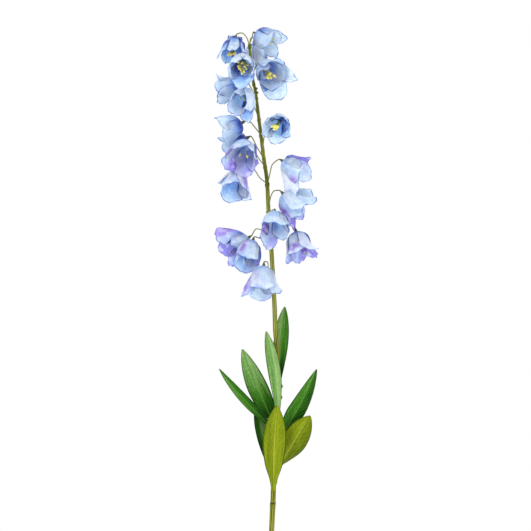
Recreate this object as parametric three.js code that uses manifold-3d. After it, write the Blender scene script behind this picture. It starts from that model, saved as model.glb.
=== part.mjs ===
// A cut bellflower spray standing in a plain glass bud vase.
// Millimetres, +Z up. The origin is the middle of the vase's flat foot.

import * as THREE from 'three';
import Module from 'manifold-3d';
import { mergeVertices } from 'three/addons/utils/BufferGeometryUtils.js';

const wasm = await Module();
wasm.setup();

// Clearances and thicknesses

const GAP = 0.3;
const PETAL_THICKNESS = 0.7;
const LEAF_THICKNESS = 0.9;

// The vase: its belly's outer outline from the foot up, as radius and height, then neck and lip

const VASE_BELLY = [[38.5, 2], [43, 22], [46, 52], [43, 84], [32, 114], [20, 140]];
const VASE_HEIGHT = 222;
const VASE_WALL = 3;
const VASE_FLOOR = 12;
const VASE_FOOT_RADIUS = 37;
const VASE_SIDES = 24;
const VASE_STEPS = 9;
const NECK_START = 168;
const NECK_HEIGHT = 196;
const NECK_FLARE = 0.6;
const LIP_RADIUS = 20;
const RIM_RISE = 1;
const FLOOR_ROUND = 2.5;
const FLOOR_CORNER = VASE_FLOOR + 4;
const WATER_LEVEL = 146;
const WATER_EDGE = 2;

// The stem: its centre line from the cut end up, and its radius by height

const STEM_FOOT = VASE_FLOOR + 0.5;
const STEM_LINE = [
  [-2.6, -3.6, STEM_FOOT],
  [3.4, 1.9, 143],
  [9.4, 7.5, 273],
  [11, 9, 308],
  [11.8, 9, 331],
  [15.3, 9, 396],
  [16.7, 8, 450],
  [16.7, 6, 519],
  [14.6, 5, 540],
  [13.2, 4, 579],
  [9.4, 2, 647],
  [4.9, 0, 710],
  [3, 0, 748],
  [-0.9, 0, 775],
  [-4.3, 0, 802],
  [-9, 0, 840],
  [-12.5, -1, 867],
  [-15.3, -1, 880],
  [-19.8, -3, 922],
  [-20.7, -4, 931],
];
const STEM_RADII = [
  [0, 3.5],
  [300, 3.5],
  [309, 3.75],
  [312, 3.75],
  [318, 3.1],
  [580, 3],
  [710, 2.7],
  [775, 2.4],
  [867, 2],
  [922, 1.7],
  [931, 1.9],
];
const STEM_SIDES = 8;
const LOWER_STEM_STEPS = 8;
const UPPER_STEM_STEPS = 22;
const JOINT_HEIGHT = 310.5;
const PEG_RADIUS = 1.7;
const PEG_LENGTH = 14;
const FUSE_DEPTH = 3;

// Flower stalks and the calyx that ends each of them

const STALK_RADIUS = 0.8;
const STALK_SIDES = 5;
const STALK_STEPS = 6;
const CALYX_LENGTH = 5;
const CALYX_RADIUS = 2.1;
const CALYX_NECK_HEIGHT = 1.4;
const CALYX_NECK = 0.85;

// Bells: five petals from one small disc, each wrapped round the bell and bent along its middle line

const PETALS = 5;
const DISC_RADIUS = 3;
const SHOULDER_ANGLE = 80;
const SHOULDER_END = 0.52;
const BEND_START = 0.5;
const CURL_POWER = 1.3;
const WRAP_START = 36;
const WRAP_MIDDLE = 52;
const WRAP_END = 0.3;
const TIP_START = 0.55;
const TIP_ROUNDING = 0.7;
const OVERLAP_LIFT = 1.05;
const LIFT_END = 0.22;
const ACROSS = 4;
const ALONG = [0, 0.13, 0.32, 0.6, 0.87, 1];
const MIDLINE_STEPS = 40;

// Each bell: rise, the height where its stalk leaves the stem; way, the points its stalk passes; seat, where
// its petals start; aim, the way it faces; roll, its turn about that way; its petals' length and spread in
// degrees; bends and reaches, each petal's outward bend in degrees and its share of the length, from the
// petal in front round by the left; stamens, their share of the length

const BELLS = [
  { rise: 930, way: [[-17, 0, 941]], seat: [-10.4, 5, 945.4], aim: [0.72, -0.5, -0.48],
    roll: 0, length: 42, spread: 6, bends: [5, 12, 20, 30, -35], reaches: [0.95, 1, 1, 1.15, 1.05],
    stamens: 0.62 },
  { rise: 928, way: [[-24.5, -5, 940], [-31, -4, 946]], seat: [-39, -7, 938], aim: [-0.12, -0.4, -0.9],
    roll: 0, length: 39, spread: 8, bends: [5, 45, 10, 30, 60], reaches: [0.75, 0.95, 1.1, 1, 0.85],
    stamens: 0.62 },
  { rise: 927, way: [[-19, 10, 940]], seat: [-14, 25, 934.7], aim: [0.12, 0.12, -0.98],
    roll: 36, length: 43, spread: 2, bends: [10, 10, 10, 10, 10], reaches: [1, 1, 1, 1, 1],
    stamens: 0.62 },
  { rise: 890, way: [[-20, -14, 903]], seat: [-29, -34, 908.5], aim: [-0.04, -0.84, -0.54],
    roll: 36, length: 42, spread: 6, bends: [0, 5, 30, -40, 0], reaches: [0.95, 1, 1.15, 1, 0.95],
    stamens: 0.62 },
  { rise: 858, way: [[-21, 4, 877]], seat: [-29, 13, 878], aim: [-0.92, 0.28, -0.25],
    roll: 20, length: 41, spread: 3, bends: [20, 20, 10, 20, 20], reaches: [1, 1, 1, 1, 1],
    stamens: 0.62 },
  { rise: 830, way: [[-13.5, -4, 846], [-19, -5, 862]], seat: [-27.8, -11, 864], aim: [-0.17, -0.82, -0.54],
    roll: 10, length: 40, spread: 6, bends: [0, 5, 20, 15, -60], reaches: [0.85, 0.9, 1, 1.25, 1.15],
    stamens: 0.62 },
  { rise: 878, way: [[-14.5, -4, 893], [-11.5, 2, 902]], seat: [-2.9, 0, 901.8], aim: [0.45, -0.7, -0.55],
    roll: 30, length: 46, spread: 14, bends: [20, -10, 15, 25, 35], reaches: [1, 0.9, 1, 1.1, 1.15],
    stamens: 0.62 },
  { rise: 788, way: [[-0.3, -2, 808], [5, 2, 823], [14, 3, 831]], seat: [21, -5, 828],
    aim: [-0.17, -0.88, -0.44],
    roll: -20, length: 36, spread: 10, bends: [10, 10, 15, 20, 15], reaches: [1, 0.95, 1.05, 1.1, 1],
    stamens: 0.62 },
  { rise: 809, way: [[-13.8, -1, 819.6], [-20, -1, 826.7]], seat: [-31.3, -2, 824.7], aim: [-0.9, -0.16, -0.41],
    roll: 30, length: 38, spread: 3, bends: [15, 30, 20, 20, 15], reaches: [1, 1.05, 1, 1, 1],
    stamens: 0.62 },
  { rise: 766, way: [[-8.6, -3, 778], [-16.5, -7, 793]], seat: [-25.1, -16, 797], aim: [-0.15, -0.68, -0.72],
    roll: 20, length: 45, spread: 8, bends: [15, 25, 20, 10, 20], reaches: [0.85, 1, 1.05, 1, 0.95],
    stamens: 0.62 },
  { rise: 777, way: [[-10.4, 5, 792.5], [-16, 11, 804]], seat: [-24.6, 15, 805], aim: [-0.87, 0.2, -0.46],
    roll: 0, length: 39, spread: 3, bends: [15, 15, 20, 10, 20], reaches: [1, 1, 1, 1, 1],
    stamens: 0.62 },
  { rise: 743, way: [[-6.3, -2, 750.5], [-14, -2, 761.5], [-25, -2, 767.5]], seat: [-38, -1, 757.5],
    aim: [-0.1, -0.58, -0.8],
    roll: 10, length: 43, spread: 8, bends: [35, 60, 5, 15, 15], reaches: [0.7, 0.9, 1, 1.1, 1.1],
    stamens: 0.42 },
  { rise: 741, way: [[7.2, -6, 756.6], [10.5, -11, 768.5]], seat: [25.2, -19, 772], aim: [0.8, -0.32, -0.52],
    roll: 40, length: 45, spread: 4, bends: [-5, 45, 20, 20, 15], reaches: [1, 1.05, 1, 1.1, 1.05],
    stamens: 0.42 },
  { rise: 706, way: [[8.3, -8, 725.6], [13, -14, 732.8]], seat: [25.1, -19, 728.3], aim: [0.65, -0.2, -0.73],
    roll: 30, length: 45, spread: 4, bends: [5, 15, 10, 50, 45], reaches: [1.05, 1.05, 1, 1, 1],
    stamens: 0.42 },
  { rise: 690, way: [[8, -10, 704]], seat: [13.9, -25, 702.8], aim: [0, -0.55, -0.83],
    roll: 0, length: 45, spread: 4, bends: [20, 25, 0, 0, 25], reaches: [0.75, 0.95, 1.2, 1.05, 0.8],
    stamens: 0.42 },
  { rise: 664, way: [[18, 4, 677], [32, 0, 687]], seat: [42.3, -4, 677.6], aim: [0.2, -0.22, -0.95],
    roll: 30, length: 45, spread: 2, bends: [0, 5, 10, 40, 45], reaches: [0.9, 1, 1, 1, 0.95],
    stamens: 0.42 },
  { rise: 669, way: [[-1, 4, 678.5], [-11.7, 10, 681.8]], seat: [-22.6, 13, 669.7], aim: [-0.8, -0.22, -0.54],
    roll: 18, length: 45, spread: 8, bends: [10, 40, 20, 25, 25], reaches: [0.9, 1.1, 1, 1, 1],
    stamens: 0.42 },
  { rise: 663, way: [[-0.5, -6, 667]], seat: [-16, -16, 665.3], aim: [-0.28, -0.38, -0.88],
    roll: 0, length: 43, spread: 4, bends: [15, 5, 0, 0, 35], reaches: [0.8, 1, 1.1, 1.05, 0.95],
    stamens: 0.42 },
  { rise: 618, way: [[5.4, -14, 628.5], [3.6, -28, 637]], seat: [-1.2, -39, 631], aim: [-0.06, -0.32, -0.945],
    roll: 0, length: 45, spread: 4, bends: [20, 55, 5, 5, 50], reaches: [0.95, 1.15, 1.05, 1, 1.05],
    stamens: 0.42 },
];

// Stamens: filaments with anthers on a small disc

const FILAMENTS = 5;
const FILAMENT_SIDES = 3;
const FILAMENT_RADIUS = 0.55;
const FILAMENT_FOOT = 0.9;
const STAMEN_DISC_SIDES = 5;
const STAMEN_DISC_RADIUS = 2.3;
const STAMEN_DISC_HEIGHT = 1.4;
const STAMEN_SPREAD = 5.4;
const STAMEN_SPREAD_POWER = 1.5;
const STAMEN_VARIATION = 0.06;
const ANTHER_RADIUS = 1.5;
const ANTHER_LENGTH = 7;
const ANTHER_TAPER = 0.6;

// Each leaf: height and side of the stem where it clasps it, the point it bends towards, its tip, its width,
// the part of its length where it is widest, turn about its middle line, half angle of its clasp

const LEAVES = [
  { height: 397, side: -145, towards: [-10, -8, 438], tip: [-60.5, -8, 492.5], width: 12, widest: 0.45, turn: 45,
    clasp: 30 },
  { height: 402, side: 146, towards: [-8, 20, 455], tip: [-30.5, 10, 519.5], width: 26, widest: 0.52, turn: -50,
    clasp: 28 },
  { height: 408, side: -75, towards: [13, -12, 460], tip: [2, -6, 544], width: 17, widest: 0.55, turn: 0,
    clasp: 30 },
  { height: 459, side: 50, towards: [23, 20, 510], tip: [27.5, 16, 576], width: 20, widest: 0.6, turn: 40,
    clasp: 32 },
  { height: 391, side: 0, towards: [36, 10, 436], tip: [71, 8, 492], width: 22, widest: 0.58, turn: -95,
    clasp: 28 },
  { height: 331, side: -90, towards: [6, -27, 378], tip: [14.5, -22, 444], width: 32, widest: 0.6, turn: 0,
    clasp: 36 },
  { height: 339, side: -6, towards: [32, 3, 366], tip: [63, -11, 430.5], width: 33, widest: 0.62, turn: -85,
    clasp: 26 },
  { height: 337, side: 170, towards: [-3, 20, 385], tip: [-12, 22, 446], width: 18, widest: 0.6, turn: -50,
    clasp: 30 },
];
const LEAF_ACROSS = 4;
const LEAF_ALONG = 10;
const LEAF_RISE = 0.2;
const LEAF_FULLNESS = 0.75;
const LEAF_TURN_END = 0.6;
const LEAF_CLASP_END = 0.3;
const LEAF_CURVE = 1 / 45;
const CLASP_GAP = 0.5;

const COLOURS = {
  glass: new THREE.MeshStandardMaterial({ color: 0xdfe9ea, roughness: 0.05, metalness: 0, transparent: true,
    opacity: 0.35 }),
  water: new THREE.MeshStandardMaterial({ color: 0xd6e6ee, roughness: 0.05, metalness: 0, transparent: true,
    opacity: 0.4 }),
  stem: new THREE.MeshStandardMaterial({ color: 0x7b872d, roughness: 0.55, metalness: 0 }),
  leaf: new THREE.MeshStandardMaterial({ color: 0x3f7a36, roughness: 0.65, metalness: 0 }),
  lime: new THREE.MeshStandardMaterial({ color: 0x87962a, roughness: 0.65, metalness: 0 }),
  blue: new THREE.MeshStandardMaterial({ color: 0x9fb9ea, roughness: 0.8, metalness: 0 }),
  violet: new THREE.MeshStandardMaterial({ color: 0xb3b4ea, roughness: 0.8, metalness: 0 }),
  stamen: new THREE.MeshStandardMaterial({ color: 0xded24f, roughness: 0.6, metalness: 0 }),
};
const FIRST_VIOLET_BELL = 10;
const LIME_LEAVES = [6, 7];

const part = new THREE.Group();
part.name = 'bellflower_in_vase';

function radians(degrees) {
  return degrees * Math.PI / 180;
}

function smooth(value) {
  const t = Math.min(Math.max(value, 0), 1);
  return t * t * (3 - 2 * t);
}

function interpolate(table, at) {
  for (let i = 1; i < table.length; i += 1) {
    const [from, low] = table[i - 1];
    const [to, high] = table[i];
    if (at <= to) {
      return low + (high - low) * (at - from) / (to - from);
    }
  }
  return table[table.length - 1][1];
}

// A closed mesh from a list of vectors and a list of triangles

function meshFrom(points, triangles) {
  const geometry = new THREE.BufferGeometry();
  const positions = points.flatMap((p) => [p.x, p.y, p.z]);
  geometry.setAttribute('position', new THREE.Float32BufferAttribute(positions, 3));
  geometry.setIndex(triangles.flat());
  return geometry;
}

function toSolid(geometry) {
  const bare = geometry.clone();
  bare.deleteAttribute('normal');
  bare.deleteAttribute('uv');
  const merged = mergeVertices(bare, 1e-4);
  return new wasm.Manifold(new wasm.Mesh({
    numProp: 3,
    vertProperties: new Float32Array(merged.attributes.position.array),
    triVerts: new Uint32Array(merged.index.array),
  }));
}

function toGeometry(solid) {
  const mesh = solid.getMesh();
  const geometry = new THREE.BufferGeometry();
  geometry.setAttribute('position', new THREE.BufferAttribute(new Float32Array(mesh.vertProperties), 3));
  geometry.setIndex(Array.from(mesh.triVerts));
  return geometry;
}

function addPiece(name, geometry, material) {
  const shaped = geometry.index ? geometry.toNonIndexed() : geometry;
  shaped.computeVertexNormals();
  const mesh = new THREE.Mesh(shaped, material);
  mesh.name = name;
  part.add(mesh);
}

// A closed tube through rings, each with a centre, two directions across and a radius

function tubeFromRings(rings, sides) {
  const points = [];
  const triangles = [];
  for (const ring of rings) {
    for (let s = 0; s < sides; s += 1) {
      const angle = 2 * Math.PI * s / sides;
      points.push(ring.centre.clone()
        .addScaledVector(ring.normal, Math.cos(angle) * ring.radius)
        .addScaledVector(ring.binormal, Math.sin(angle) * ring.radius));
    }
  }
  for (let r = 0; r + 1 < rings.length; r += 1) {
    for (let s = 0; s < sides; s += 1) {
      const a = r * sides + s;
      const b = r * sides + (s + 1) % sides;
      triangles.push([a, b, b + sides], [a, b + sides, a + sides]);
    }
  }
  const last = (rings.length - 1) * sides;
  for (let s = 1; s + 1 < sides; s += 1) {
    triangles.push([0, s + 1, s], [last, last + s, last + s + 1]);
  }
  return meshFrom(points, triangles);
}

function ringsAlong(curve, steps, radiusAt) {
  const frames = curve.computeFrenetFrames(steps, false);
  const rings = [];
  for (let i = 0; i <= steps; i += 1) {
    const centre = curve.getPointAt(i / steps);
    rings.push({
      centre,
      normal: frames.normals[i],
      binormal: frames.binormals[i],
      tangent: frames.tangents[i],
      radius: radiusAt(centre),
    });
  }
  return rings;
}

// The stem's centre line, and where it passes a height

const stemCurve = new THREE.CatmullRomCurve3(STEM_LINE.map((p) => new THREE.Vector3(...p)), false, 'centripetal');
stemCurve.arcLengthDivisions = 2000;

function stemFraction(height) {
  let low = 0;
  let high = 1;
  for (let i = 0; i < 40; i += 1) {
    const middle = (low + high) / 2;
    if (stemCurve.getPointAt(middle).z < height) {
      low = middle;
    } else {
      high = middle;
    }
  }
  return (low + high) / 2;
}

function stemAt(height) {
  return stemCurve.getPointAt(stemFraction(height));
}

function stemRadius(height) {
  return interpolate(STEM_RADII, height);
}

// A stretch of the stem between two heights

class StemStretch extends THREE.Curve {
  constructor(from, to) {
    super();
    this.first = stemFraction(from);
    this.last = stemFraction(to);
  }

  getPoint(t) {
    return stemCurve.getPointAt(this.first + (this.last - this.first) * t);
  }
}

function straightTube(from, direction, length, radius, sides) {
  const path = new THREE.LineCurve3(from, from.clone().addScaledVector(direction, length));
  return tubeFromRings(ringsAlong(path, 1, () => radius), sides);
}

// The vase and its water

function vaseOutline() {
  const neck = stemAt(NECK_HEIGHT);
  const room = (Math.hypot(neck.x, neck.y) + stemRadius(NECK_HEIGHT) + GAP) / Math.cos(Math.PI / VASE_SIDES);
  const neckRadius = room + VASE_WALL;
  const side = [
    ...VASE_BELLY,
    [neckRadius + NECK_FLARE, NECK_START],
    [neckRadius, NECK_HEIGHT],
    [LIP_RADIUS, VASE_HEIGHT],
  ];
  return new THREE.SplineCurve(side.map((p) => new THREE.Vector2(...p)));
}

function insideOutline(inset) {
  const side = vaseOutline();
  const points = [];
  for (let i = 0; i <= VASE_STEPS; i += 1) {
    const at = i / VASE_STEPS;
    const point = side.getPoint(at);
    const along = side.getTangent(at);
    points.push(new THREE.Vector2(point.x - along.y * inset, point.y + along.x * inset));
  }
  return points;
}

function vaseGeometry() {
  const outside = vaseOutline().getPoints(VASE_STEPS);
  const inside = insideOutline(VASE_WALL).filter((p) => p.y > FLOOR_CORNER);
  const profile = [
    new THREE.Vector2(0, 0),
    new THREE.Vector2(VASE_FOOT_RADIUS, 0),
    ...outside,
    new THREE.Vector2(LIP_RADIUS - VASE_WALL / 2, VASE_HEIGHT + RIM_RISE),
    ...inside.reverse(),
    new THREE.Vector2(inside[inside.length - 1].x - FLOOR_ROUND, VASE_FLOOR),
    new THREE.Vector2(0, VASE_FLOOR),
  ];
  return new THREE.LatheGeometry(profile, VASE_SIDES).rotateX(Math.PI / 2);
}

function waterGeometry() {
  const outline = insideOutline(VASE_WALL + GAP);
  const wall = outline.filter((p) => p.y > FLOOR_CORNER && p.y < WATER_LEVEL - WATER_EDGE);
  const top = interpolate(outline.map((p) => [p.y, p.x]), WATER_LEVEL);
  const floor = VASE_FLOOR + GAP;
  const profile = [
    new THREE.Vector2(0, floor),
    new THREE.Vector2(wall[0].x - FLOOR_ROUND, floor),
    ...wall,
    new THREE.Vector2(top, WATER_LEVEL),
    new THREE.Vector2(0, WATER_LEVEL),
  ];
  const water = toSolid(new THREE.LatheGeometry(profile, VASE_SIDES).rotateX(Math.PI / 2));
  const foot = stemAt(STEM_FOOT);
  const direction = stemAt(WATER_LEVEL).sub(foot).normalize();
  const start = foot.addScaledVector(direction, -STEM_FOOT);
  const hole = straightTube(start, direction, WATER_LEVEL + STEM_FOOT, stemRadius(0) + GAP, STEM_SIDES);
  return toGeometry(water.subtract(toSolid(hole)));
}

// The stem in two pieces with a plug joint

function stemLowerGeometry() {
  const curve = new StemStretch(STEM_FOOT, JOINT_HEIGHT - GAP);
  const rings = ringsAlong(curve, LOWER_STEM_STEPS, (p) => stemRadius(p.z));
  const top = rings[rings.length - 1];
  const bottom = top.centre.clone().addScaledVector(top.tangent, -PEG_LENGTH - GAP);
  const socket = straightTube(bottom, top.tangent, PEG_LENGTH + FUSE_DEPTH, PEG_RADIUS + GAP, STEM_SIDES);
  return toGeometry(toSolid(tubeFromRings(rings, STEM_SIDES)).subtract(toSolid(socket)));
}

function stemUpperGeometry() {
  const curve = new StemStretch(JOINT_HEIGHT, STEM_LINE[STEM_LINE.length - 1][2]);
  const rings = ringsAlong(curve, UPPER_STEM_STEPS, (p) => stemRadius(p.z));
  const foot = rings[0];
  const pegEnd = foot.centre.clone().addScaledVector(foot.tangent, -PEG_LENGTH);
  const peg = straightTube(pegEnd, foot.tangent, PEG_LENGTH + FUSE_DEPTH, PEG_RADIUS, STEM_SIDES);
  let solid = toSolid(tubeFromRings(rings, STEM_SIDES)).add(toSolid(peg));
  for (const bell of BELLS) {
    solid = solid.add(toSolid(tubeFromRings(stalkRings(bell), STALK_SIDES)));
  }
  return toGeometry(solid);
}

// A bell's own directions: the way it faces, and from its middle to its front and to its left

function bellFrame(bell) {
  const facing = new THREE.Vector3(...bell.aim).normalize();
  const front = new THREE.Vector3(0, -1, 0);
  front.addScaledVector(facing, -front.dot(facing)).normalize();
  const left = new THREE.Vector3().crossVectors(facing, front);
  return { seat: new THREE.Vector3(...bell.seat), facing, front, left };
}

function bellPoint({ seat, facing, front, left }, x, y, z) {
  return seat.clone()
    .addScaledVector(front, x)
    .addScaledVector(left, y)
    .addScaledVector(facing, z);
}

function stalkRings(bell) {
  const frame = bellFrame(bell);
  const path = new THREE.CatmullRomCurve3([
    stemAt(bell.rise),
    ...bell.way.map((p) => new THREE.Vector3(...p)),
    bellPoint(frame, 0, 0, -CALYX_LENGTH - CALYX_NECK_HEIGHT),
    bellPoint(frame, 0, 0, -CALYX_LENGTH),
  ], false, 'centripetal');
  const rings = ringsAlong(path, STALK_STEPS, () => STALK_RADIUS);
  const end = rings[rings.length - 1];
  const calyx = [
    [CALYX_NECK_HEIGHT - CALYX_LENGTH, CALYX_RADIUS * CALYX_NECK],
    [-PETAL_THICKNESS / 2 - GAP, CALYX_RADIUS],
  ];
  for (const [z, radius] of calyx) {
    rings.push({ ...end, centre: bellPoint(frame, 0, 0, z), radius });
  }
  return rings;
}

// The band between two rows, each a list of pairs of an inner and an outer point, with its two side faces

function joinRows(triangles, row, next) {
  for (let k = 0; k + 1 < row.length; k += 1) {
    const [inner, outer] = row[k];
    const [innerSide, outerSide] = row[k + 1];
    const [innerNext, outerNext] = next[k];
    const [innerCorner, outerCorner] = next[k + 1];
    triangles.push([inner, innerNext, innerCorner], [inner, innerCorner, innerSide]);
    triangles.push([outer, outerCorner, outerNext], [outer, outerSide, outerCorner]);
  }
  const last = row.length - 1;
  triangles.push([row[0][0], row[0][1], next[0][1]], [row[0][0], next[0][1], next[0][0]]);
  triangles.push([row[last][0], next[last][1], row[last][1]], [row[last][0], next[last][0], next[last][1]]);
}

// A row drawn together to one tip

function closeRow(triangles, row, tip) {
  for (let k = 0; k + 1 < row.length; k += 1) {
    triangles.push([row[k][0], tip, row[k + 1][0]], [row[k][1], row[k + 1][1], tip]);
  }
  const last = row.length - 1;
  triangles.push([row[0][0], row[0][1], tip], [row[last][0], tip, row[last][1]]);
}

function shareAcross(k, steps) {
  return -1 + 2 * k / steps;
}

// The middle line of a petal, as radius and height over the bell's seat, by its length

function petalMidline(length, spread, bend) {
  const line = [[DISC_RADIUS, 0]];
  const step = length / MIDLINE_STEPS;
  for (let i = 0; i < MIDLINE_STEPS; i += 1) {
    const t = (i + 0.5) / MIDLINE_STEPS;
    const shoulder = Math.max(1 - t / SHOULDER_END, 0) ** CURL_POWER;
    const curl = Math.max((t - BEND_START) / (1 - BEND_START), 0) ** CURL_POWER;
    const angle = radians(spread + (SHOULDER_ANGLE - spread) * shoulder + bend * curl);
    const [radius, height] = line[i];
    line.push([radius + step * Math.sin(angle), height + step * Math.cos(angle)]);
  }
  return line;
}

function midlineAt(line, t) {
  const i = Math.min(Math.floor(t * MIDLINE_STEPS), MIDLINE_STEPS - 1);
  const share = t * MIDLINE_STEPS - i;
  const [radius, height] = line[i];
  const [nextRadius, nextHeight] = line[i + 1];
  return [radius + (nextRadius - radius) * share, height + (nextHeight - height) * share];
}

// Half the angle a petal takes round the bell

function petalWrap(t) {
  const middle = WRAP_START + (WRAP_MIDDLE - WRAP_START) * smooth(t / WRAP_END);
  const tip = Math.max((t - TIP_START) / (1 - TIP_START), 0);
  return radians(middle) * (1 - tip ** 2) ** TIP_ROUNDING;
}

function petalPoint({ line, turn }, across, t) {
  const [radius, height] = midlineAt(line, t);
  const angle = turn + across * petalWrap(t);
  const lift = OVERLAP_LIFT * across * smooth(t / LIFT_END) * (1 - t ** 4);
  return new THREE.Vector3((radius + lift) * Math.cos(angle), (radius + lift) * Math.sin(angle), height);
}

function petalNormal(petal, across, t) {
  if (t === 0) {
    const shoulder = radians(SHOULDER_ANGLE);
    const angle = petal.turn + across * petalWrap(0);
    return new THREE.Vector3(Math.cos(shoulder) * Math.cos(angle), Math.cos(shoulder) * Math.sin(angle),
      -Math.sin(shoulder));
  }
  const small = 0.01;
  const along = petalPoint(petal, across, t).sub(petalPoint(petal, across, t - small));
  const side = petalPoint(petal, across + small, t).sub(petalPoint(petal, across - small, t));
  return new THREE.Vector3().crossVectors(side, along).normalize();
}

// One bell as a closed sheet: a disc whose rim carries the petals

function bellGeometry(bell) {
  const frame = bellFrame(bell);
  const points = [];
  const triangles = [];
  const add = ({ x, y, z }) => points.push(bellPoint(frame, x, y, z)) - 1;
  const addPair = (petal, across, t) => {
    const middle = petalPoint(petal, across, t);
    const normal = petalNormal(petal, across, t);
    return [-1, 1].map((face) => add(middle.clone().addScaledVector(normal, face * PETAL_THICKNESS / 2)));
  };
  const petals = bell.bends.map((bend, p) => ({
    turn: radians(bell.roll + 360 * p / PETALS),
    line: petalMidline(bell.length * bell.reaches[p], bell.spread, bend),
  }));
  const rim = [];
  for (const petal of petals) {
    for (let k = 0; k < ACROSS; k += 1) {
      rim.push(addPair(petal, shareAcross(k, ACROSS), 0));
    }
  }
  const innerCentre = add(new THREE.Vector3(0, 0, PETAL_THICKNESS / 2));
  const outerCentre = add(new THREE.Vector3(0, 0, -PETAL_THICKNESS / 2));
  rim.forEach(([inner, outer], k) => {
    const [nextInner, nextOuter] = rim[(k + 1) % rim.length];
    triangles.push([innerCentre, inner, nextInner], [outerCentre, nextOuter, outer]);
  });
  petals.forEach((petal, p) => {
    let row = [];
    for (let k = 0; k <= ACROSS; k += 1) {
      row.push(rim[(p * ACROSS + k) % rim.length]);
    }
    for (const t of ALONG.slice(1, -1)) {
      const next = row.map((pair, k) => addPair(petal, shareAcross(k, ACROSS), t));
      joinRows(triangles, row, next);
      row = next;
    }
    closeRow(triangles, row, add(petalPoint(petal, 0, 1)));
  });
  return meshFrom(points, triangles);
}

// Stamens of one bell: filaments on a small disc, each with an anther at its end

function stamensGeometry(bell) {
  const frame = bellFrame(bell);
  const foot = PETAL_THICKNESS / 2 + GAP;
  const base = bellPoint(frame, 0, 0, foot);
  let solid = toSolid(straightTube(base, frame.facing, STAMEN_DISC_HEIGHT, STAMEN_DISC_RADIUS, STAMEN_DISC_SIDES));
  for (let f = 0; f < FILAMENTS; f += 1) {
    const angle = radians(bell.roll + 360 * (f + 0.5) / FILAMENTS);
    const reach = bell.length * (bell.stamens + STAMEN_VARIATION * Math.sin(2.4 * f + bell.roll));
    const ring = (z, radius) => {
      const share = (z / reach) ** STAMEN_SPREAD_POWER;
      const distance = FILAMENT_FOOT + (STAMEN_SPREAD - FILAMENT_FOOT) * share;
      const centre = bellPoint(frame, distance * Math.cos(angle), distance * Math.sin(angle), z);
      return { centre, normal: frame.front, binormal: frame.left, radius };
    };
    const rings = [
      ring(foot + STAMEN_DISC_HEIGHT / 2, FILAMENT_RADIUS),
      ring(reach - ANTHER_LENGTH, FILAMENT_RADIUS),
      ring(reach - ANTHER_LENGTH * ANTHER_TAPER, ANTHER_RADIUS),
      ring(reach, ANTHER_RADIUS * ANTHER_TAPER),
    ];
    solid = solid.add(toSolid(tubeFromRings(rings, FILAMENT_SIDES)));
  }
  return toGeometry(solid);
}

// The middle line of a leaf, from the stem's side to its tip

function leafCurve(leaf, start) {
  const upward = stemAt(leaf.height + 1).sub(stemAt(leaf.height)).normalize();
  const tip = new THREE.Vector3(...leaf.tip);
  const bow = start.clone().addScaledVector(upward, start.distanceTo(tip) * LEAF_RISE);
  return new THREE.CubicBezierCurve3(start, bow, new THREE.Vector3(...leaf.towards), tip);
}

// A leaf clasps the stem at its foot and opens into a blade

function leafGeometry(leaf) {
  const { height, side, width, widest, turn, clasp } = leaf;
  const points = [];
  const triangles = [];
  const out = new THREE.Vector3(Math.cos(radians(side)), Math.sin(radians(side)), 0);
  const claspRadius = stemRadius(height) + CLASP_GAP + LEAF_THICKNESS / 2;
  const curve = leafCurve(leaf, stemAt(height).addScaledVector(out, claspRadius));
  const claspWidth = radians(clasp) * claspRadius;
  const power = Math.log(0.5) / Math.log(widest);
  const rows = [];
  for (let j = 0; j < LEAF_ALONG; j += 1) {
    const t = j / LEAF_ALONG;
    const middle = curve.getPointAt(t);
    const tangent = curve.getTangentAt(t);
    const outward = out.clone().addScaledVector(tangent, -out.dot(tangent)).normalize();
    outward.applyAxisAngle(tangent, radians(turn) * smooth(t / LEAF_TURN_END));
    const lateral = new THREE.Vector3().crossVectors(tangent, outward);
    const halfWidth = width / 2 * Math.sin(Math.PI * t ** power) ** LEAF_FULLNESS + claspWidth * (1 - t) ** 3;
    const curvature = 1 / claspRadius + (LEAF_CURVE - 1 / claspRadius) * smooth(t / LEAF_CLASP_END);
    const row = [];
    for (let k = 0; k <= LEAF_ACROSS; k += 1) {
      const angle = halfWidth * shareAcross(k, LEAF_ACROSS) * curvature;
      const point = middle.clone()
        .addScaledVector(lateral, Math.sin(angle) / curvature)
        .addScaledVector(outward, (Math.cos(angle) - 1) / curvature);
      const normal = outward.clone().multiplyScalar(Math.cos(angle))
        .addScaledVector(lateral, Math.sin(angle));
      row.push([-1, 1].map((face) => (
        points.push(point.clone().addScaledVector(normal, face * LEAF_THICKNESS / 2)) - 1
      )));
    }
    rows.push(row);
  }
  for (let k = 0; k < LEAF_ACROSS; k += 1) {
    const [inner, outer] = rows[0][k];
    const [innerSide, outerSide] = rows[0][k + 1];
    triangles.push([outerSide, outer, inner], [outerSide, inner, innerSide]);
  }
  for (let j = 0; j + 1 < rows.length; j += 1) {
    joinRows(triangles, rows[j], rows[j + 1]);
  }
  closeRow(triangles, rows[rows.length - 1], points.push(curve.getPointAt(1)) - 1);
  return meshFrom(points, triangles);
}

addPiece('vase', vaseGeometry(), COLOURS.glass);
addPiece('water', waterGeometry(), COLOURS.water);
addPiece('stem_lower', stemLowerGeometry(), COLOURS.stem);
addPiece('stem_upper', stemUpperGeometry(), COLOURS.stem);
LEAVES.forEach((leaf, i) => {
  const colour = LIME_LEAVES.includes(i + 1) ? COLOURS.lime : COLOURS.leaf;
  addPiece(`leaf_${i + 1}`, leafGeometry(leaf), colour);
});
BELLS.forEach((bell, i) => {
  const number = String(i + 1).padStart(2, '0');
  const colour = i + 1 < FIRST_VIOLET_BELL ? COLOURS.blue : COLOURS.violet;
  addPiece(`bloom_${number}`, bellGeometry(bell), colour);
  addPiece(`stamens_${number}`, stamensGeometry(bell), COLOURS.stamen);
});

export default part;
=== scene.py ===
import math
import random

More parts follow.
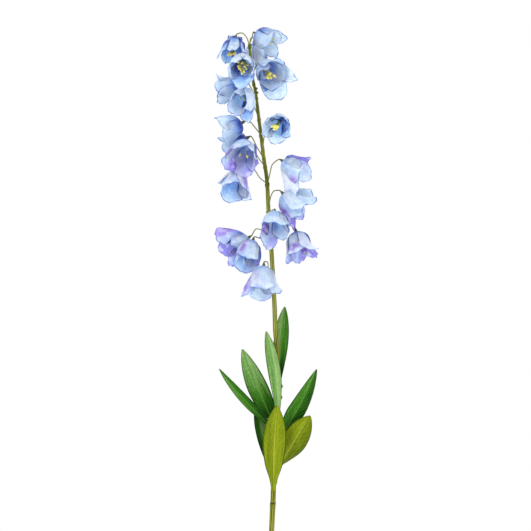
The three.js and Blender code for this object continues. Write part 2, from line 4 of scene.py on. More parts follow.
import bpy
import numpy as np
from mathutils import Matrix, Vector, noise


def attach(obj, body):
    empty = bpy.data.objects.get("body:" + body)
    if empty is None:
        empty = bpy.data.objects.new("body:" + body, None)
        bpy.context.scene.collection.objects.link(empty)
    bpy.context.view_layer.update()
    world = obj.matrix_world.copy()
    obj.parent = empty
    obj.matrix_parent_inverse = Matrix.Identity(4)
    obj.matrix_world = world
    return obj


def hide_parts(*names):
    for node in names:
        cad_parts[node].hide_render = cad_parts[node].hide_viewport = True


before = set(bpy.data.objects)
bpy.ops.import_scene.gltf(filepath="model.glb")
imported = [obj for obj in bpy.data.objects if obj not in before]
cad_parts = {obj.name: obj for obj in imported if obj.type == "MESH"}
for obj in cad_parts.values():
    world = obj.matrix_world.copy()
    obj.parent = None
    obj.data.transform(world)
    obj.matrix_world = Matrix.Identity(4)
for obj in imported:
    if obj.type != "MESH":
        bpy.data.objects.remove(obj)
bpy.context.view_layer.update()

# A cut bellflower spray in a glass bud vase. Sizes are in millimetres and become metres at each mesh.

MM = 0.001
ROUND = 2 * math.pi
ROOT = "root"

# Where the random draws of each sort of piece start, and the range of the waves' shifts

BELL_SEED = 100
STAMEN_SEED = 300
LEAF_SEED = 500
KNOB_SEED = 3
SHIFTS = (0, 6.28)

# The camera at the photograph's angle: middle and width of what it sees at the stem

VIEW_MIDDLE = (1.125, 632.425)
VIEW_WIDTH = 716.85
VIEW_DISTANCE = 3500
SENSOR_WIDTH = 36

# The floor, what the sky shows and sheds, and the lamps: name, place in metres, size and power

FLOOR_RADIUS = 2500
FLOOR_DROP = 0.2
FLOOR_SIDES = 96
SKY_SEEN = {"Color": (1, 1, 1, 1), "Strength": 1.0}
SKY_LIGHT = {"Color": (0.98, 0.99, 1, 1), "Strength": 0.8}
LAMPS = [("key", (-1.1, -1.7, 2.1), 1.0, 30), ("fill", (1.5, -1.9, 0.8), 1.6, 17),
         ("back", (0.4, 1.8, 1.7), 1.4, 14)]
LAMPS_AIM = (0, 0, 0.62)

# The stem: its centre line from the cut end up, and its radius by height

STEM_FOOT = 12.5
STEM_LINE = [
    (-2.6, -3.6, STEM_FOOT), (3.4, 1.9, 143), (9.4, 7.5, 273), (11, 9, 308), (11.8, 9, 331),
    (15.3, 9, 396), (16.7, 8, 450), (16.7, 6, 519), (14.6, 5, 540), (13.2, 4, 579),
    (9.4, 2, 647), (4.9, 0, 710), (3, 0, 748), (-0.9, 0, 775), (-4.3, 0, 802),
    (-9, 0, 840), (-12.5, -1, 867), (-15.3, -1, 880), (-19.8, -3, 922), (-20.7, -4, 931),
]
STEM_TOP = STEM_LINE[-1][2]
STEM_RADII = [
    (0, 3.4), (240, 3.4), (300, 3.5), (306, 3.75), (312, 3.8), (313.5, 3.4), (318, 3.4), (340, 3.4),
    (400, 3.25), (470, 3.1), (580, 3), (710, 2.7), (775, 2.4), (867, 2), (922, 1.7), (931, 1.9),
]
STEM_CURVE_STEPS = 24
STEM_STEP = 1.5
STEM_SIDES = 48
STEM_RIDGES = 7.0
STEM_RIDGE_DEPTH = 0.06
JOINT_HEIGHT = 310.5
JOINT_GAP = 0.3

# Stalks, calyxes as place on the bell's axis and radius, and knobs as height and size

STALK_RADIUS = 0.75
STALK_SWELL = 0.9
STALK_SWELL_END = 0.08
STALK_SIDES = 10
STALK_STEPS = 38
STALK_END = 37 / 39
CALYX_STEM = (-6.4, -5)
CALYX_SHAPE = [(-5.6, 0.95), (-4.6, 1.35), (-3.2, 1.9), (-1.8, 2.3), (-0.7, 2.5)]
KNOBS = [(394.5, 1.5), (468.5, 3.1), (453.5, 2.9), (871, 1.6), (865.5, 1.6), (339, 1.4)]
KNOB_AT_STALK = 0.35
KNOB_FLATNESS = 1.25

# Petals: the same middle lines and wraps as the solids, with a finer rim. Angles are in degrees. Starts
# and ends are shares of the petal's length, and widths are shares of its half width

PETALS = 5
DISC_RADIUS = 3
DISC_REACH = 3.5
DISC_HOLE = 0.15
DISC_RISE = 0.07
DISC_SIDES = 24
SHOULDER_ANGLE = 80
SHOULDER_END = 0.52
BEND_START = 0.5
CURL_POWER = 1.3
MIDLINE_STEPS = 60
LONGEST_REACH = 1.15
WRAP_START = 36
WRAP_MIDDLE = 52
WRAP_END = 0.3
WIDEN_START = 0.4
TWIST_END = 0.8
TIP_START = 0.55
TIP_POWER = 1.7
TIP_POINT = 0.035
TIP_POINT_WIDTH = 0.1
SCALLOPS = [(0.016, 7.5, 1), (0.01, 17, 2)]
OVERLAP_LIFT = 1.05
LIFT_END = 0.22
PETAL_CLOTH = 0.4
PETAL_ROWS = 30
PETAL_COLUMNS = 27
ROW_SPACING = 0.9
UV_REACH = 1.1
OUTER_PART = (0.45, 0.95)
FLARE = 0.8
FLARE_POWER = 2.5
RIPPLES = [(1, 5.2, "phase", 1.5), (0.45, 12.5, "wave", 3)]
FOLD_WIDTH = 0.1
FOLD_END = 0.25
FOLD_FADE = 0.6
PLEAT_DEPTH = 0.22
PLEAT_COUNT = 15
PLEAT_PART = (0.15, 0.35, 0.75)
LUMP_HEIGHT = 1.5
LUMP_PITCH = 0.06
LUMP_SPREAD = 50
CRUMPLE_DEPTH = 0.3
CRUMPLE_COUNTS = (9, 5, 13)
CRUMPLE_END = 0.3
CUT_EDGE = 8
PETAL_TONES = 0.05
DYE_START = 0.12
DYE_END = 0.42
DYE_SLANT = (0.55, 0.35)
DYE_RIM = (0.05, 0.5)

# The traits of a petal that is like the others. spread: how far it leans out. bend: how far its end curls
# out, or in where negative. twist: how far it turns on itself. swing: how far it is turned from its fifth of
# the round, to the left. reach: share of the bell's length. wrap: share of the plain width. widen: how much
# wider its end is. point: how sharp its end is. inset, raised, fold and ripple: mm inwards, along the bell,
# of the crease and of the waves. tone: from dark -1 to pale 1. glow and lift: how much paler the inside and
# the base are. Tone and glow are partly the cloth's own paleness and partly painted light: they lift petals
# that lie in shade, and some dark tones paint shade between bells. violet: how far it is dyed, on its left
# where positive and on its right where negative. patch: a pink blush's place across and along, strength,
# width and height

PLAIN_PETAL = dict(spread=0, bend=0, reach=1, swing=0, wrap=1, widen=0, twist=0, point=0, inset=0, raised=0,
                   fold=0.6, ripple=1.25, tone=0, glow=0, lift=0, violet=0, patch=(0, 0, 0, 1, 1))

# Each bell: the height where its stalk leaves the stem, the stalk's way, the bell's seat, the way it faces,
# its roll, petal length, and the traits of its petals: one number for all, five from the front one round by
# the left, or some by their place there

BELLS = [
    dict(rise=930, way=[(-17, 0, 941)], seat=(-10.4, 5, 945.4), aim=(0.72, -0.5, -0.48), length=42,
         spread=(6, 10, 6, 6, 6), bend=(5, 12, 20, 30, -50), reach={4: 1.1}, swing={3: 14},
         wrap=(1.25, 0.85, 1, 0.8, 1.1), tone=(-0.12, 0.05, 0, 1.2, -0.35), glow=(0, 0.6, 0.4, 1, 0),
         ripple={1: 1.8, 2: 2, 4: 1.4}),
    dict(rise=928, way=[(-24.5, -5, 940), (-31, -4, 946)], seat=(-39, -7, 938), aim=(-0.12, -0.4, -0.9),
         length=39, spread=8, bend=(8, 20, 10, 30, 30), reach=(0.84, 1.1, 0.95, 0.85, 0.85),
         violet={3: 0.15, 4: 0.15}, swing={0: 16, 2: -2}, wrap=(0.9, 0.75, 0.85, 1, 0.8),
         tone=(-0.15, -0.35, -0.3, -0.3, -0.35), glow=(0, 0.4, 0.1, 0, -0.3)),
    # The third bell lies in shade behind the first and seventh: its pale tones and glow paint light onto it
    dict(rise=927, way=[(-19, 10, 940)], seat=(-14, 25, 934.7), aim=(0.12, 0.12, -0.98), roll=36, length=43,
         spread=2, bend=10, tone=(1.4, 1.2, 0, 0, 1.4), glow=(0.4, 0.4, 0, 0, 0.4)),
    dict(rise=890, way=[(-20, -14, 903)], seat=(-29, -34, 908.5), aim=(-0.04, -0.84, -0.54), roll=36,
         length=42, spread=6, bend=(0, 5, 25, -28, 0), reach=(0.95, 1, 1.08, 1, 0.95), swing={3: 8},
         wrap=(1, 1.15, 1.35, 0.85, 1), tone=(0.5, 0.1, 0, 0.8, 0.7), glow=(0, 0.1, -0.12, 0.9, 0.3),
         ripple={0: 1.6}),
    dict(rise=858, way=[(-21, 4, 877)], seat=(-29, 13, 878), aim=(-0.92, 0.28, -0.25), roll=20, length=41,
         spread=3, bend=(4, 42, 10, 6, 4), reach={3: 1.05, 4: 1.08}, wrap={0: 1.3, 4: 1.25},
         tone=(-0.3, -0.3, 0, -0.25, -0.3)),
    dict(rise=830, way=[(-13.5, -4, 846), (-19, -5, 862)], seat=(-27.8, -11, 864),
         aim=(-0.17, -0.82, -0.54), roll=10, length=40, spread=6, bend=(0, 5, 8, 15, -72),
         reach=(0.85, 0.9, 1, 1.25, 1.35), swing={3: 8}, wrap=(1, 0.65, 1.15, 0.85, 1.3),
         tone=(0.5, 0.6, 0, 0, 0.45), glow={1: 0.8, 2: 0.5}, point={4: 0.5}),
    dict(rise=878, way=[(-14.5, -4, 893), (-11.5, 2, 902)], seat=(-2.9, 0, 901.8), aim=(0.45, -0.7, -0.55),
         roll=30, length=46, spread=14, bend=(20, -10, 22, 16, 40), reach=(0.8, 0.9, 1.16, 1.2, 1),
         swing={2: -14, 3: -14}, wrap={1: 0.9, 3: 0.72}, tone=(-0.15, -0.35, 0, 0.9, 0),
         glow={2: 0.3, 3: 0.9}, point={3: 0.7}),
    dict(rise=788, way=[(-0.3, -2, 808), (5, 2, 823), (14, 3, 831)], seat=(21, -5, 828),
         aim=(-0.17, -0.88, -0.44), roll=-20, length=36, spread=10, bend=(20, 10, 15, 20, 15),
         reach=(1, 0.95, 1.05, 1.1, 1), wrap={1: 1.15}, glow=(-0.1, 0.7, 0.6, 0.3, -0.05),
         ripple={0: 0.8, 3: 0.8}),
    dict(rise=809, way=[(-13.8, -1, 819.6), (-20, -1, 826.7)], seat=(-31.3, -2, 824.7),
         aim=(-0.9, -0.16, -0.41), roll=30, length=38, spread=(21, 3, 3, 3, 12), bend=(-10, 10, 0, -8, -8),
         reach=(0.96, 0.75, 0.8, 0.98, 1.04), swing=(28, 42, 24, 0, -2), wrap={0: 1.35, 4: 1.35},
         tone=(-0.18, -0.2, 0, -0.3, -0.3), ripple=(0.5, 0.6, 0.3, 0.6, 0.6), point={0: -0.9, 4: -0.5},
         inset={4: -1}),
    dict(rise=766, way=[(-8.6, -3, 778), (-16.5, -7, 793)], seat=(-25.1, -16, 797),
         aim=(-0.15, -0.68, -0.72), roll=20, length=45, spread=(27, 8, 8, 8, 8), bend=(-36, 25, 20, 10, 20),
         reach=(0.86, 1.08, 1.08, 1, 0.95), violet=(0, 1.2, 1.5, 1.5, 0), swing=(40, 34, 30, 14, -12),
         wrap=(1.6, 1.35, 1, 1, 1.1), tone=(-0.25, 0.1, 0, 0, 0.5), glow=(0, 0.6, 0.45, 0.45, 0.4),
         ripple=(1.25, 2, 2, 1.6, 1.8), point={0: -0.6},
         patch={0: (0.3, 0.9, 1.5, 0.5, 0.12), 1: (0.35, 0.75, 1.8, 0.4, 0.25)}),
    # The eleventh bell's dark first and last petals paint shade between it and the ninth
    dict(rise=777, way=[(-10.4, 5, 792.5), (-16, 11, 804)], seat=(-24.6, 15, 805), aim=(-0.87, 0.2, -0.46),
         length=39, spread=3, bend=(15, 15, 20, 10, 20), tone=(-0.3, 0.3, 0.3, 0, -0.35)),
    dict(rise=743, way=[(-6.3, -2, 750.5), (-14, -2, 761.5), (-25, -2, 767.5)], seat=(-38, -1, 757.5),
         aim=(-0.1, -0.58, -0.8), roll=10, length=43, spread=(8, 22, 8, 8, 8), bend=(20, 14, 2, 15, 15),
         reach=(0.92, 0.78, 1, 0.95, 1.1), violet=(0, 0.4, 0.25, 0.3, 0.1), swing=(4, -8, 12, 26, -22),
         wrap=(1.7, 0.6, 1.8, 1, 1.6), tone=(0.6, 1, 0, 0.4, 0.9), glow=(0, 1, 0.04, 0.5, 0.5),
         ripple={0: 1.8, 1: 0.2}, point={1: 0.3}, inset={3: 2},
         patch={0: (0.1, 0.7, 0.3, 0.3, 0.16), 4: (0.3, 0.45, 2, 0.3, 0.45)}),
    dict(rise=741, way=[(7.2, -6, 756.6), (10.5, -11, 768.5)], seat=(25.2, -19, 772),
         aim=(0.8, -0.32, -0.52), roll=40, length=45, spread=(6, 28, 4, 20, 8), bend=(2, 0, 20, 20, 20),
         reach=(0.92, 1.24, 1, 0.8, 0.98), violet=(0, 0.35, 0.2, 2, 0), swing=(-8, -24, 0, 0, -8),
         wrap=(1.7, 1.05, 1, 1, 0.8), tone=(-0.22, 1.2, 1, 0, 0.1), glow=(0, 0.9, 1, 0, 0.9), twist={1: 44},
         inset={1: 2, 4: 2.4}, lift=(0.42, 0, 0, 0.3, 0.4),
         patch={0: (0.35, 0.88, 1.5, 0.3, 0.16), 4: (0, 0.9, 0.9, 0.9, 0.17)}),
    dict(rise=706, way=[(8.3, -8, 725.6), (13, -14, 732.8)], seat=(25.1, -19, 728.3),
         aim=(0.65, -0.2, -0.73), roll=30, length=45, spread=(4, 4, 4, 18, 12), bend=(5, 15, 10, 30, 40),
         reach=(1.05, 1.18, 1, 0.9, 1.16), violet={1: 2.1, 2: 1.7}, swing={0: -20, 3: 8},
         wrap=(1.05, 1.1, 0.9, 1.3, 1.2), tone=(-0.3, 0, 0, 0.5, 0.2), glow=(0, 0, 0.1, 0.8, 0.7),
         ripple={3: 2.6, 4: 2.6}, twist={3: 30}, lift={0: 0.5, 4: 0.4}, widen={3: -0.3},
         patch={0: (0.85, 0.75, 1.3, 0.3, 0.3)}),
    dict(rise=690, way=[(8, -10, 704)], seat=(13.9, -25, 702.8), aim=(0, -0.55, -0.83), length=45,
         spread=(14, 4, 4, 8, 4), bend=(20, 25, 0, 6, 25), reach=(0.88, 0.98, 1.16, 0.9, 0.85),
         violet=(0, 2, 0.7, 0.1, 0), swing=(-5, 24, 0, 24, 0), wrap=(1.8, 1.05, 0.95, 1.5, 1),
         tone=(0.15, 1, 0.2, 0, 0), glow=(0, 1.4, 0.8, 0.25, 0.4), ripple={0: 2.4}, point={2: -0.5}),
    dict(rise=664, way=[(18, 4, 677), (32, 0, 687)], seat=(42.3, -4, 677.6), aim=(0.2, -0.22, -0.95),
         roll=30, length=45, spread=(6, 10, 2, 2, 8), bend=(8, 5, 10, 50, 56), reach={0: 0.82, 4: 0.95},
         violet=(0, 0.8, 1.5, 2, 0.2), swing=(4, 10, -8, -10, -10), wrap={0: 1.6},
         tone=(1.3, 0.1, 0, 0, 0.8), glow=(0, 0, 0.1, 0.1, 0.7), patch={0: (0.15, 0.74, 1.5, 0.8, 0.13)}),
    dict(rise=669, way=[(-1, 4, 678.5), (-11.7, 10, 681.8)], seat=(-22.6, 13, 669.7),
         aim=(-0.8, -0.22, -0.54), roll=18, length=45, spread=(8, 14, 8, 8, 8), bend=(10, 10, 20, 6, 25),
         reach=(0.72, 1.02, 1.02, 1.06, 0.85), violet=(0.2, 1.3, 1.9, 1.6, 0.3), swing={1: -18},
         wrap={1: 0.66}, tone=(-0.1, -0.3, -0.3, 0, -0.15), glow={2: -0.1, 3: 0.1}, twist={1: 52},
         point={1: -0.5}, lift=(0.35, 0.3, 0, 0, 0.4), patch={3: (0, 0.4, 1.8, 0.6, 0.25)}),
    dict(rise=663, way=[(-0.5, -6, 667)], seat=(-16, -16, 665.3), aim=(-0.28, -0.38, -0.88), length=43,
         spread=(4, 0, 4, 4, 4), bend=(15, 0, 2, 0, 35), reach=(0.9, 1, 1.1, 0.9, 0.9),
         violet=(0, 0.2, 0.4, 0.3, 1.6), swing={2: 30}, wrap=(1.5, 0.7, 1.5, 1, 0.8),
         tone={0: 0.2, 4: -0.3}, glow=(0, 0.4, -0.04, 0.1, 0), inset={1: 1.5, 4: 2}, widen={0: 0.25},
         patch={0: (0.5, 0.5, 1.3, 0.2, 0.38)}),
    dict(rise=618, way=[(5.4, -14, 628.5), (3.6, -28, 637)], seat=(-1.2, -39, 631),
         aim=(-0.06, -0.32, -0.945), length=45, spread=4, bend=(20, 40, 2, 5, 50),
         reach=(0.97, 1.22, 1.1, 0.9, 1.05), violet=(0.4, 1.4, 0.3, 0.2, 0.2), swing=(8, 10, 30, 0, 0),
         wrap=(1.75, 0.7, 1.4, 1, 0.9), tone=(0.25, -0.2, 0, 0, 0.4), glow={2: 0.8, 3: 0.7},
         ripple={0: 1.8}, twist={1: 38, 4: -38}, inset={1: 2.6, 4: 2}),
]
FIRST_VIOLET_BELL = 10

# Petals beside the five, with their own direction and length in mm: the turned-up pair on the second bell,
# the inner layer of the seventh, and a narrow one on the tenth

EXTRA_PETALS = {
    2: [dict(turn=80, length=8, spread=84, bend=-10, wrap=1.4, violet=1.5, tone=0.9, glow=0.9, raised=-0.6),
        dict(turn=262, length=6, spread=84, bend=-10, wrap=1.4, violet=1.5, tone=0.9, glow=0.9, raised=-0.4)],
    7: [dict(turn=345, length=26, spread=12, bend=-70, tone=0.9, glow=0.9, inset=1.2),
        dict(turn=62, length=33, spread=6, bend=-12, wrap=0.85, tone=0.9, glow=0.9, inset=2.2, point=0.4),
        dict(turn=160, length=43, spread=16, bend=-14, wrap=1.3, glow=0.2, inset=2.2, fold=2.4),
        dict(turn=238, length=41, spread=17, bend=-6, wrap=1.2, glow=0.2, inset=2.2)],
    10: [dict(turn=344, length=30, spread=8, bend=-10, wrap=0.34, tone=1, glow=1)],
}

# Stamens: the plain ones, their shares of each bell's length, and those that differ, by bell. size: the
# anther's radius. width and thin: shares of the spread and of the filament's radius. lean: mm towards the
# bell's front and its left

FILAMENT_RADIUS = 0.5
FILAMENT_START = 0.6
FILAMENT_FOOT = 0.9
FILAMENT_STEPS = 12
ANTHER_LENGTH = 7
STAMEN_SPREAD = 5.4
STAMEN_POWER = 1.5
STAMEN_TURNS = (-0.25, 0.25)
STAMEN_REACHES = (-0.09, 0.07)
STAMEN_WIDTHS = (0.45, 1.1)
STAMEN_SIDES = 12
PLAIN_STAMENS = dict(count=5, size=1.45, width=1.0, thin=1.0, lean=(0, 0))
STAMEN_SHARES = (0.58, 0.72, 0.62, 0.6, 0.62, 0.5, 0.62, 0.74, 0.62, 0.62,
                 0.62, 0.25, 0.3, 0.3, 0.25, 0.25, 0.3, 0.3, 0.3)
STAMEN_DETAILS = {
    2: dict(count=3, size=2.1, lean=(0, 3)), 4: dict(count=11, size=1.25, width=1.75),
    6: dict(count=2, size=1.1, thin=0.5, lean=(2, 0)), 7: dict(count=6, size=1.9, lean=(-1, 2)),
    8: dict(size=2.2, width=0.8, lean=(-2, 3)), 10: dict(count=2, size=1.2, width=1.6, thin=0.4),
}

# Leaves: height and side of the clasp, point bent towards, tip, width, widest share, turn, clasp angle,
# tone of the cloth from dark -1 to pale 1, half shading: how much painted light and shade make one half of
# its fold paler than the other, and how dark its base is

LEAVES = [
    dict(height=397, side=-145, towards=(-15, -8, 430), tip=(-61.5, -8, 493.5), width=12, widest=0.55,
         turn=45, clasp=30, tone=-0.25, halves=-0.2, base=1.1),
    dict(height=402, side=146, towards=(-8, 20, 455), tip=(-30.5, 10, 519.5), width=28, widest=0.52,
         turn=-50, clasp=28, tone=0.36, halves=-0.05, base=1.8),
    dict(height=408, side=-78, towards=(21, -12, 470), tip=(1.8, -6, 544), width=18, widest=0.66,
         turn=0, clasp=24, tone=0.42, halves=0.2, base=0),
    dict(height=459, side=50, towards=(19, 20, 512), tip=(27.3, 16, 577), width=20, widest=0.62,
         turn=40, clasp=32, tone=0.15, halves=0.3, base=1.1),
    dict(height=385, side=0, towards=(45, 10, 426), tip=(70.5, 8, 492.5), width=24, widest=0.42,
         turn=-95, clasp=28, tone=-0.45, halves=-0.3, base=0.5),
    dict(height=327, side=-90, towards=(11, -27, 378), tip=(16.5, -22, 445), width=32, widest=0.6,
         turn=0, clasp=36, tone=-0.35, halves=0.1, base=0),
    dict(height=339, side=-6, towards=(27, 3, 375), tip=(61.5, -11, 430.5), width=36, widest=0.6,
         turn=-85, clasp=26, tone=-0.5, halves=-0.1, base=0.3),
    dict(height=337, side=170, towards=(-3, 20, 385), tip=(-12, 22, 446), width=18, widest=0.6,
         turn=-50, clasp=30, tone=-0.1, halves=-0.5, base=0.7),
]
LIME_LEAVES = (6, 7)
LEAF_CLOTH = 0.5
LEAF_ROWS = 60
LEAF_COLUMNS = 17
LEAF_END = 0.997
LEAF_CURVE_STEPS = 300
LEAF_RISE = 0.2
LEAF_FULLNESS = 0.75
LEAF_TURN_END = 0.6
LEAF_CURVE = 1 / 45
LEAF_OPEN_PART = (0.2, 0.5)
LEAF_FOLD = 0.9
LEAF_FOLD_WIDTH = 0.16
LEAF_WAVE = 0.8
LEAF_WAVES = 11
CLASP_RADII = [(0, 4.45), (300, 4.45), (318, 4.05), (580, 3.95)]
CLASP_END = 0.3

# The vase and its water, as outlines of radius and height

VASE_FOOT = [(0, 1.2), (24, 1.2), (27, 0), (35.5, 0), (37.5, 0.5)]
VASE_SIDE = [(38.5, 2.6), (43, 22), (46, 52), (43, 84), (32, 114), (20, 140)]
VASE_NECK_HEIGHT = 196
VASE_NECK_ROOM = 3.9
VASE_THROAT = (0.6, 168)
VASE_LIP = (20, 222)
VASE_WALL = 3
VASE_FLOOR = 12
VASE_CORNER = 4
VASE_STEPS = 90
VASE_SIDES = 96
LATHE_GUIDE = 50
WATER_LEVEL = 146
WATER_SINK = 0.15
MENISCUS = [(0.15, 0.8), (-1.2, 0.1), (-3, 0)]

# Dyes of the petals from base to rim, with the pale cloth that also paints light, the painted highlight and
# painted shadow of their folds and the edge line that is partly painted shadow, and dyes of each sort of leaf

OUTSIDE_DYE = [(0.0, (28, 42, 138)), (0.08, (66, 92, 180)), (0.2, (128, 156, 210)),
               (0.42, (161, 184, 217)), (0.78, (175, 196, 222)), (1.0, (152, 177, 212))]
INSIDE_DYE = [(0.0, (24, 32, 120)), (0.2, (44, 66, 168)), (0.36, (76, 104, 202)),
              (0.56, (114, 146, 226)), (0.78, (152, 183, 238)), (1.0, (188, 209, 240))]
# Pale cloth, also used as painted light on petals that lie in shade
PALE_DYE_AND_LIGHT = (209, 223, 243)
# Painted highlight and painted shadow of the cloth's folds
FOLD_HIGHLIGHT = (205, 220, 241)
FOLD_SHADOW = (112, 140, 206)
PETAL_VEIN = (112, 140, 208)
OUTSIDE_VIOLET = (136, 92, 192)
# The edge line: partly the cloth's dark edge, partly painted shadow where one petal lies over another
BLUE_EDGE_AND_SHADOW = (34, 54, 134)
VIOLET_EDGE_AND_SHADOW = (62, 30, 138)
GREEN_DYES = dict(dark=(10, 54, 0), middle=(56, 112, 24), pale=(142, 172, 110), vein=(94, 144, 54), grain=420)
LIME_DYES = dict(dark=(56, 76, 0), middle=(124, 138, 14), pale=(168, 178, 58), vein=(162, 170, 60), grain=520)


def smooth(value, start=0, end=1):
    """Runs smoothly from 0 at the start to 1 at the end."""
    t = np.clip((value - start) / (end - start), 0, 1)
    return t * t * (3 - 2 * t)


def unit(vector):
    vector = np.asarray(vector, float)
    return vector / np.linalg.norm(vector, axis=-1, keepdims=True)


def joined(*parts):
    """Arrays joined along a new last axis, each spread over the shape of all."""
    return np.stack(np.broadcast_arrays(*parts), axis=-1)


def running(steps):
    """The sum of the steps so far, from 0."""
    return np.concatenate(([0], np.cumsum(steps)))


def turned(vector, axis, angle):
    """A vector turned about an axis."""
    return (vector * math.cos(angle) + np.cross(axis, vector) * math.sin(angle)
            + axis * np.dot(axis, vector) * (1 - math.cos(angle)))


def catmull_rom(points, steps):
    """Points along a centripetal Catmull-Rom curve."""
    points = [np.array(p, float) for p in points]
    points = [2 * points[0] - points[1]] + points + [2 * points[-1] - points[-2]]
    made = []
    for before, start, end, after in zip(points, points[1:], points[2:], points[3:]):
        came, goes, follows = [math.sqrt(np.linalg.norm(b - a)) for a, b in
                               ((before, start), (start, end), (end, after))]
        along = end - start
        leave = goes * ((start - before) / came - (end - before) / (came + goes)) + along
        arrive = goes * ((after - end) / follows - (after - start) / (goes + follows)) + along
        for t in np.arange(steps) / steps:
            made.append(start + leave * t + (3 * along - 2 * leave - arrive) * t ** 2
                        + (leave + arrive - 2 * along) * t ** 3)
    return np.array(made + [points[-2]])


class Path:
    """A line of points, read by share of its length."""

    def __init__(self, points):
        self.points = np.array(points, float)
        self.lengths = running(np.linalg.norm(np.diff(self.points, axis=0), axis=1))

    def at(self, shares):
        wanted = np.asarray(shares) * self.lengths[-1]
        return joined(*[np.interp(wanted, self.lengths, self.points[:, k]) for k in range(3)])

    def tangent(self, share):
        near = 0.004
        return unit(self.at(min(share + near, 1)) - self.at(max(share - near, 0)))


STEM = catmull_rom(STEM_LINE, STEM_CURVE_STEPS)


def stem_at(height):
    return np.array([np.interp(height, STEM[:, 2], STEM[:, k]) for k in range(3)])


def by_height(table, height):
    """A measure at a height, from a table of heights and measures."""
    return float(np.interp(height, *zip(*table)))


# Meshes

def added(name, data):
    """A new object in the scene."""
    made = bpy.data.objects.new(name, data)
    bpy.context.scene.collection.objects.link(made)
    return made


def new_piece(name, vertices, edges=(), faces=(), fields=None):
    """An object in metres, with a value of each field at each vertex."""
    mesh = bpy.data.meshes.new(name)
    mesh.from_pydata((np.asarray(vertices) * MM).tolist(), edges, [list(map(int, f)) for f in faces])
    for field, values in (fields or {}).items():
        layer = mesh.attributes.new(field, "FLOAT", "POINT")
        layer.data.foreach_set("value", np.asarray(values, np.float32))
    return added(name, mesh)


class Sheets:
    """Closed sheets of cloth, gathered into one mesh."""

    def __init__(self):
        self.vertices = []
        self.faces = []
        self.fields = {}
        self.uv = []
        self.count = 0

    def add(self, surface, thickness, uv, **fields):
        """A closed sheet round a grid of points, rows along it and columns across it."""
        rows, columns = surface.shape[:2]
        size = rows * columns
        for side in (1, -1):
            self.vertices.append((surface + normals(surface) * side * thickness / 2).reshape(-1, 3))
            self.uv.append(joined(*uv, surface[..., 0])[..., :2].reshape(-1, 2))
        for name, values in fields.items():
            level = np.broadcast_to(values, (rows, columns)).ravel()
            self.fields.setdefault(name, []).extend([level] * 2)
        self.fields.setdefault("inside", []).append(np.repeat([0.0, 1.0], size))
        at = self.count + np.arange(size).reshape(rows, columns)
        quads = joined(at[:-1, :-1], at[:-1, 1:], at[1:, 1:], at[1:, :-1]).reshape(-1, 4)
        loop = np.concatenate([at[0, :], at[1:, -1], at[-1, -2::-1], at[-2:0:-1, 0]])
        follow = np.roll(loop, -1)
        rim = joined(follow, loop, loop + size, follow + size)
        self.faces += [quads, quads[:, ::-1] + size, rim]
        self.count += 2 * size

    def piece(self, name, material):
        fields = {key: np.concatenate(values) for key, values in self.fields.items()}
        vertices = np.concatenate(self.vertices)
        piece = new_piece(name, vertices, faces=np.concatenate(self.faces), fields=fields)
        mesh = piece.data
        corners = np.empty(len(mesh.loops), np.int32)
        mesh.loops.foreach_get("vertex_index", corners)
        uv = np.concatenate(self.uv).astype(np.float32)
        mesh.uv_layers.new(name="cloth").data.foreach_set("uv", uv[corners].ravel())
        mesh.polygons.foreach_set("use_smooth", [True] * len(mesh.polygons))
        mesh.materials.append(material)
        return piece


def normals(surface):
    """The direction outwards at each point of a grid."""
    return unit(np.cross(np.gradient(surface, axis=1), np.gradient(surface, axis=0)))


# Node trees: values that can be reckoned with, and the trees that hold them

def math_step(operation):
    def made(value, other=0.0):
        return value.nodes.add("ShaderNodeMath", {0: value, 1: other}, operation=operation)
    return made


class Value:
    """One output of a node. Reckoning with it adds math nodes."""

    def __init__(self, nodes, socket):
        self.nodes = nodes
        self.socket = socket

    def __rsub__(self, other):
        return self.nodes.add("ShaderNodeMath", {0: other, 1: self}, operation="SUBTRACT")

    __add__ = math_step("ADD")
    __sub__ = math_step("SUBTRACT")
    __mul__ = math_step("MULTIPLY")
    __pow__ = math_step("POWER")
    least = math_step("MINIMUM")
    most = math_step("MAXIMUM")
    size = math_step("ABSOLUTE")
    sine = math_step("SINE")
    cosine = math_step("COSINE")

    def waves(self, power):
        """Narrow waves from 0 to 1 of an angle."""
        return ((self.sine() + 1.0) * 0.5) ** power

    def step(self, low, high, first=0.0, last=1.0):
        """Runs smoothly from the first value at low to the last one at high."""
        return self.nodes.add("ShaderNodeMapRange", {
            "Value": self, "From Min": low, "From Max": high, "To Min": first, "To Max": last},
            "Result", interpolation_type="SMOOTHSTEP")


class Nodes:
    """A node tree that is being built."""

    def __init__(self, tree):
        self.tree = tree

    def add(self, kind, inputs=None, output=0, **settings):
        """A node with its settings and inputs, linked or set, given back as the value of one output."""
        node = self.tree.nodes.new(kind)
        for setting, value in settings.items():
            setattr(node, setting, value)
        for socket, value in (inputs or {}).items():
            if isinstance(value, Value):
                self.tree.links.new(value.socket, node.inputs[socket])
            else:
                node.inputs[socket].default_value = value
        return Value(self, node.outputs[output]) if len(node.outputs) else None


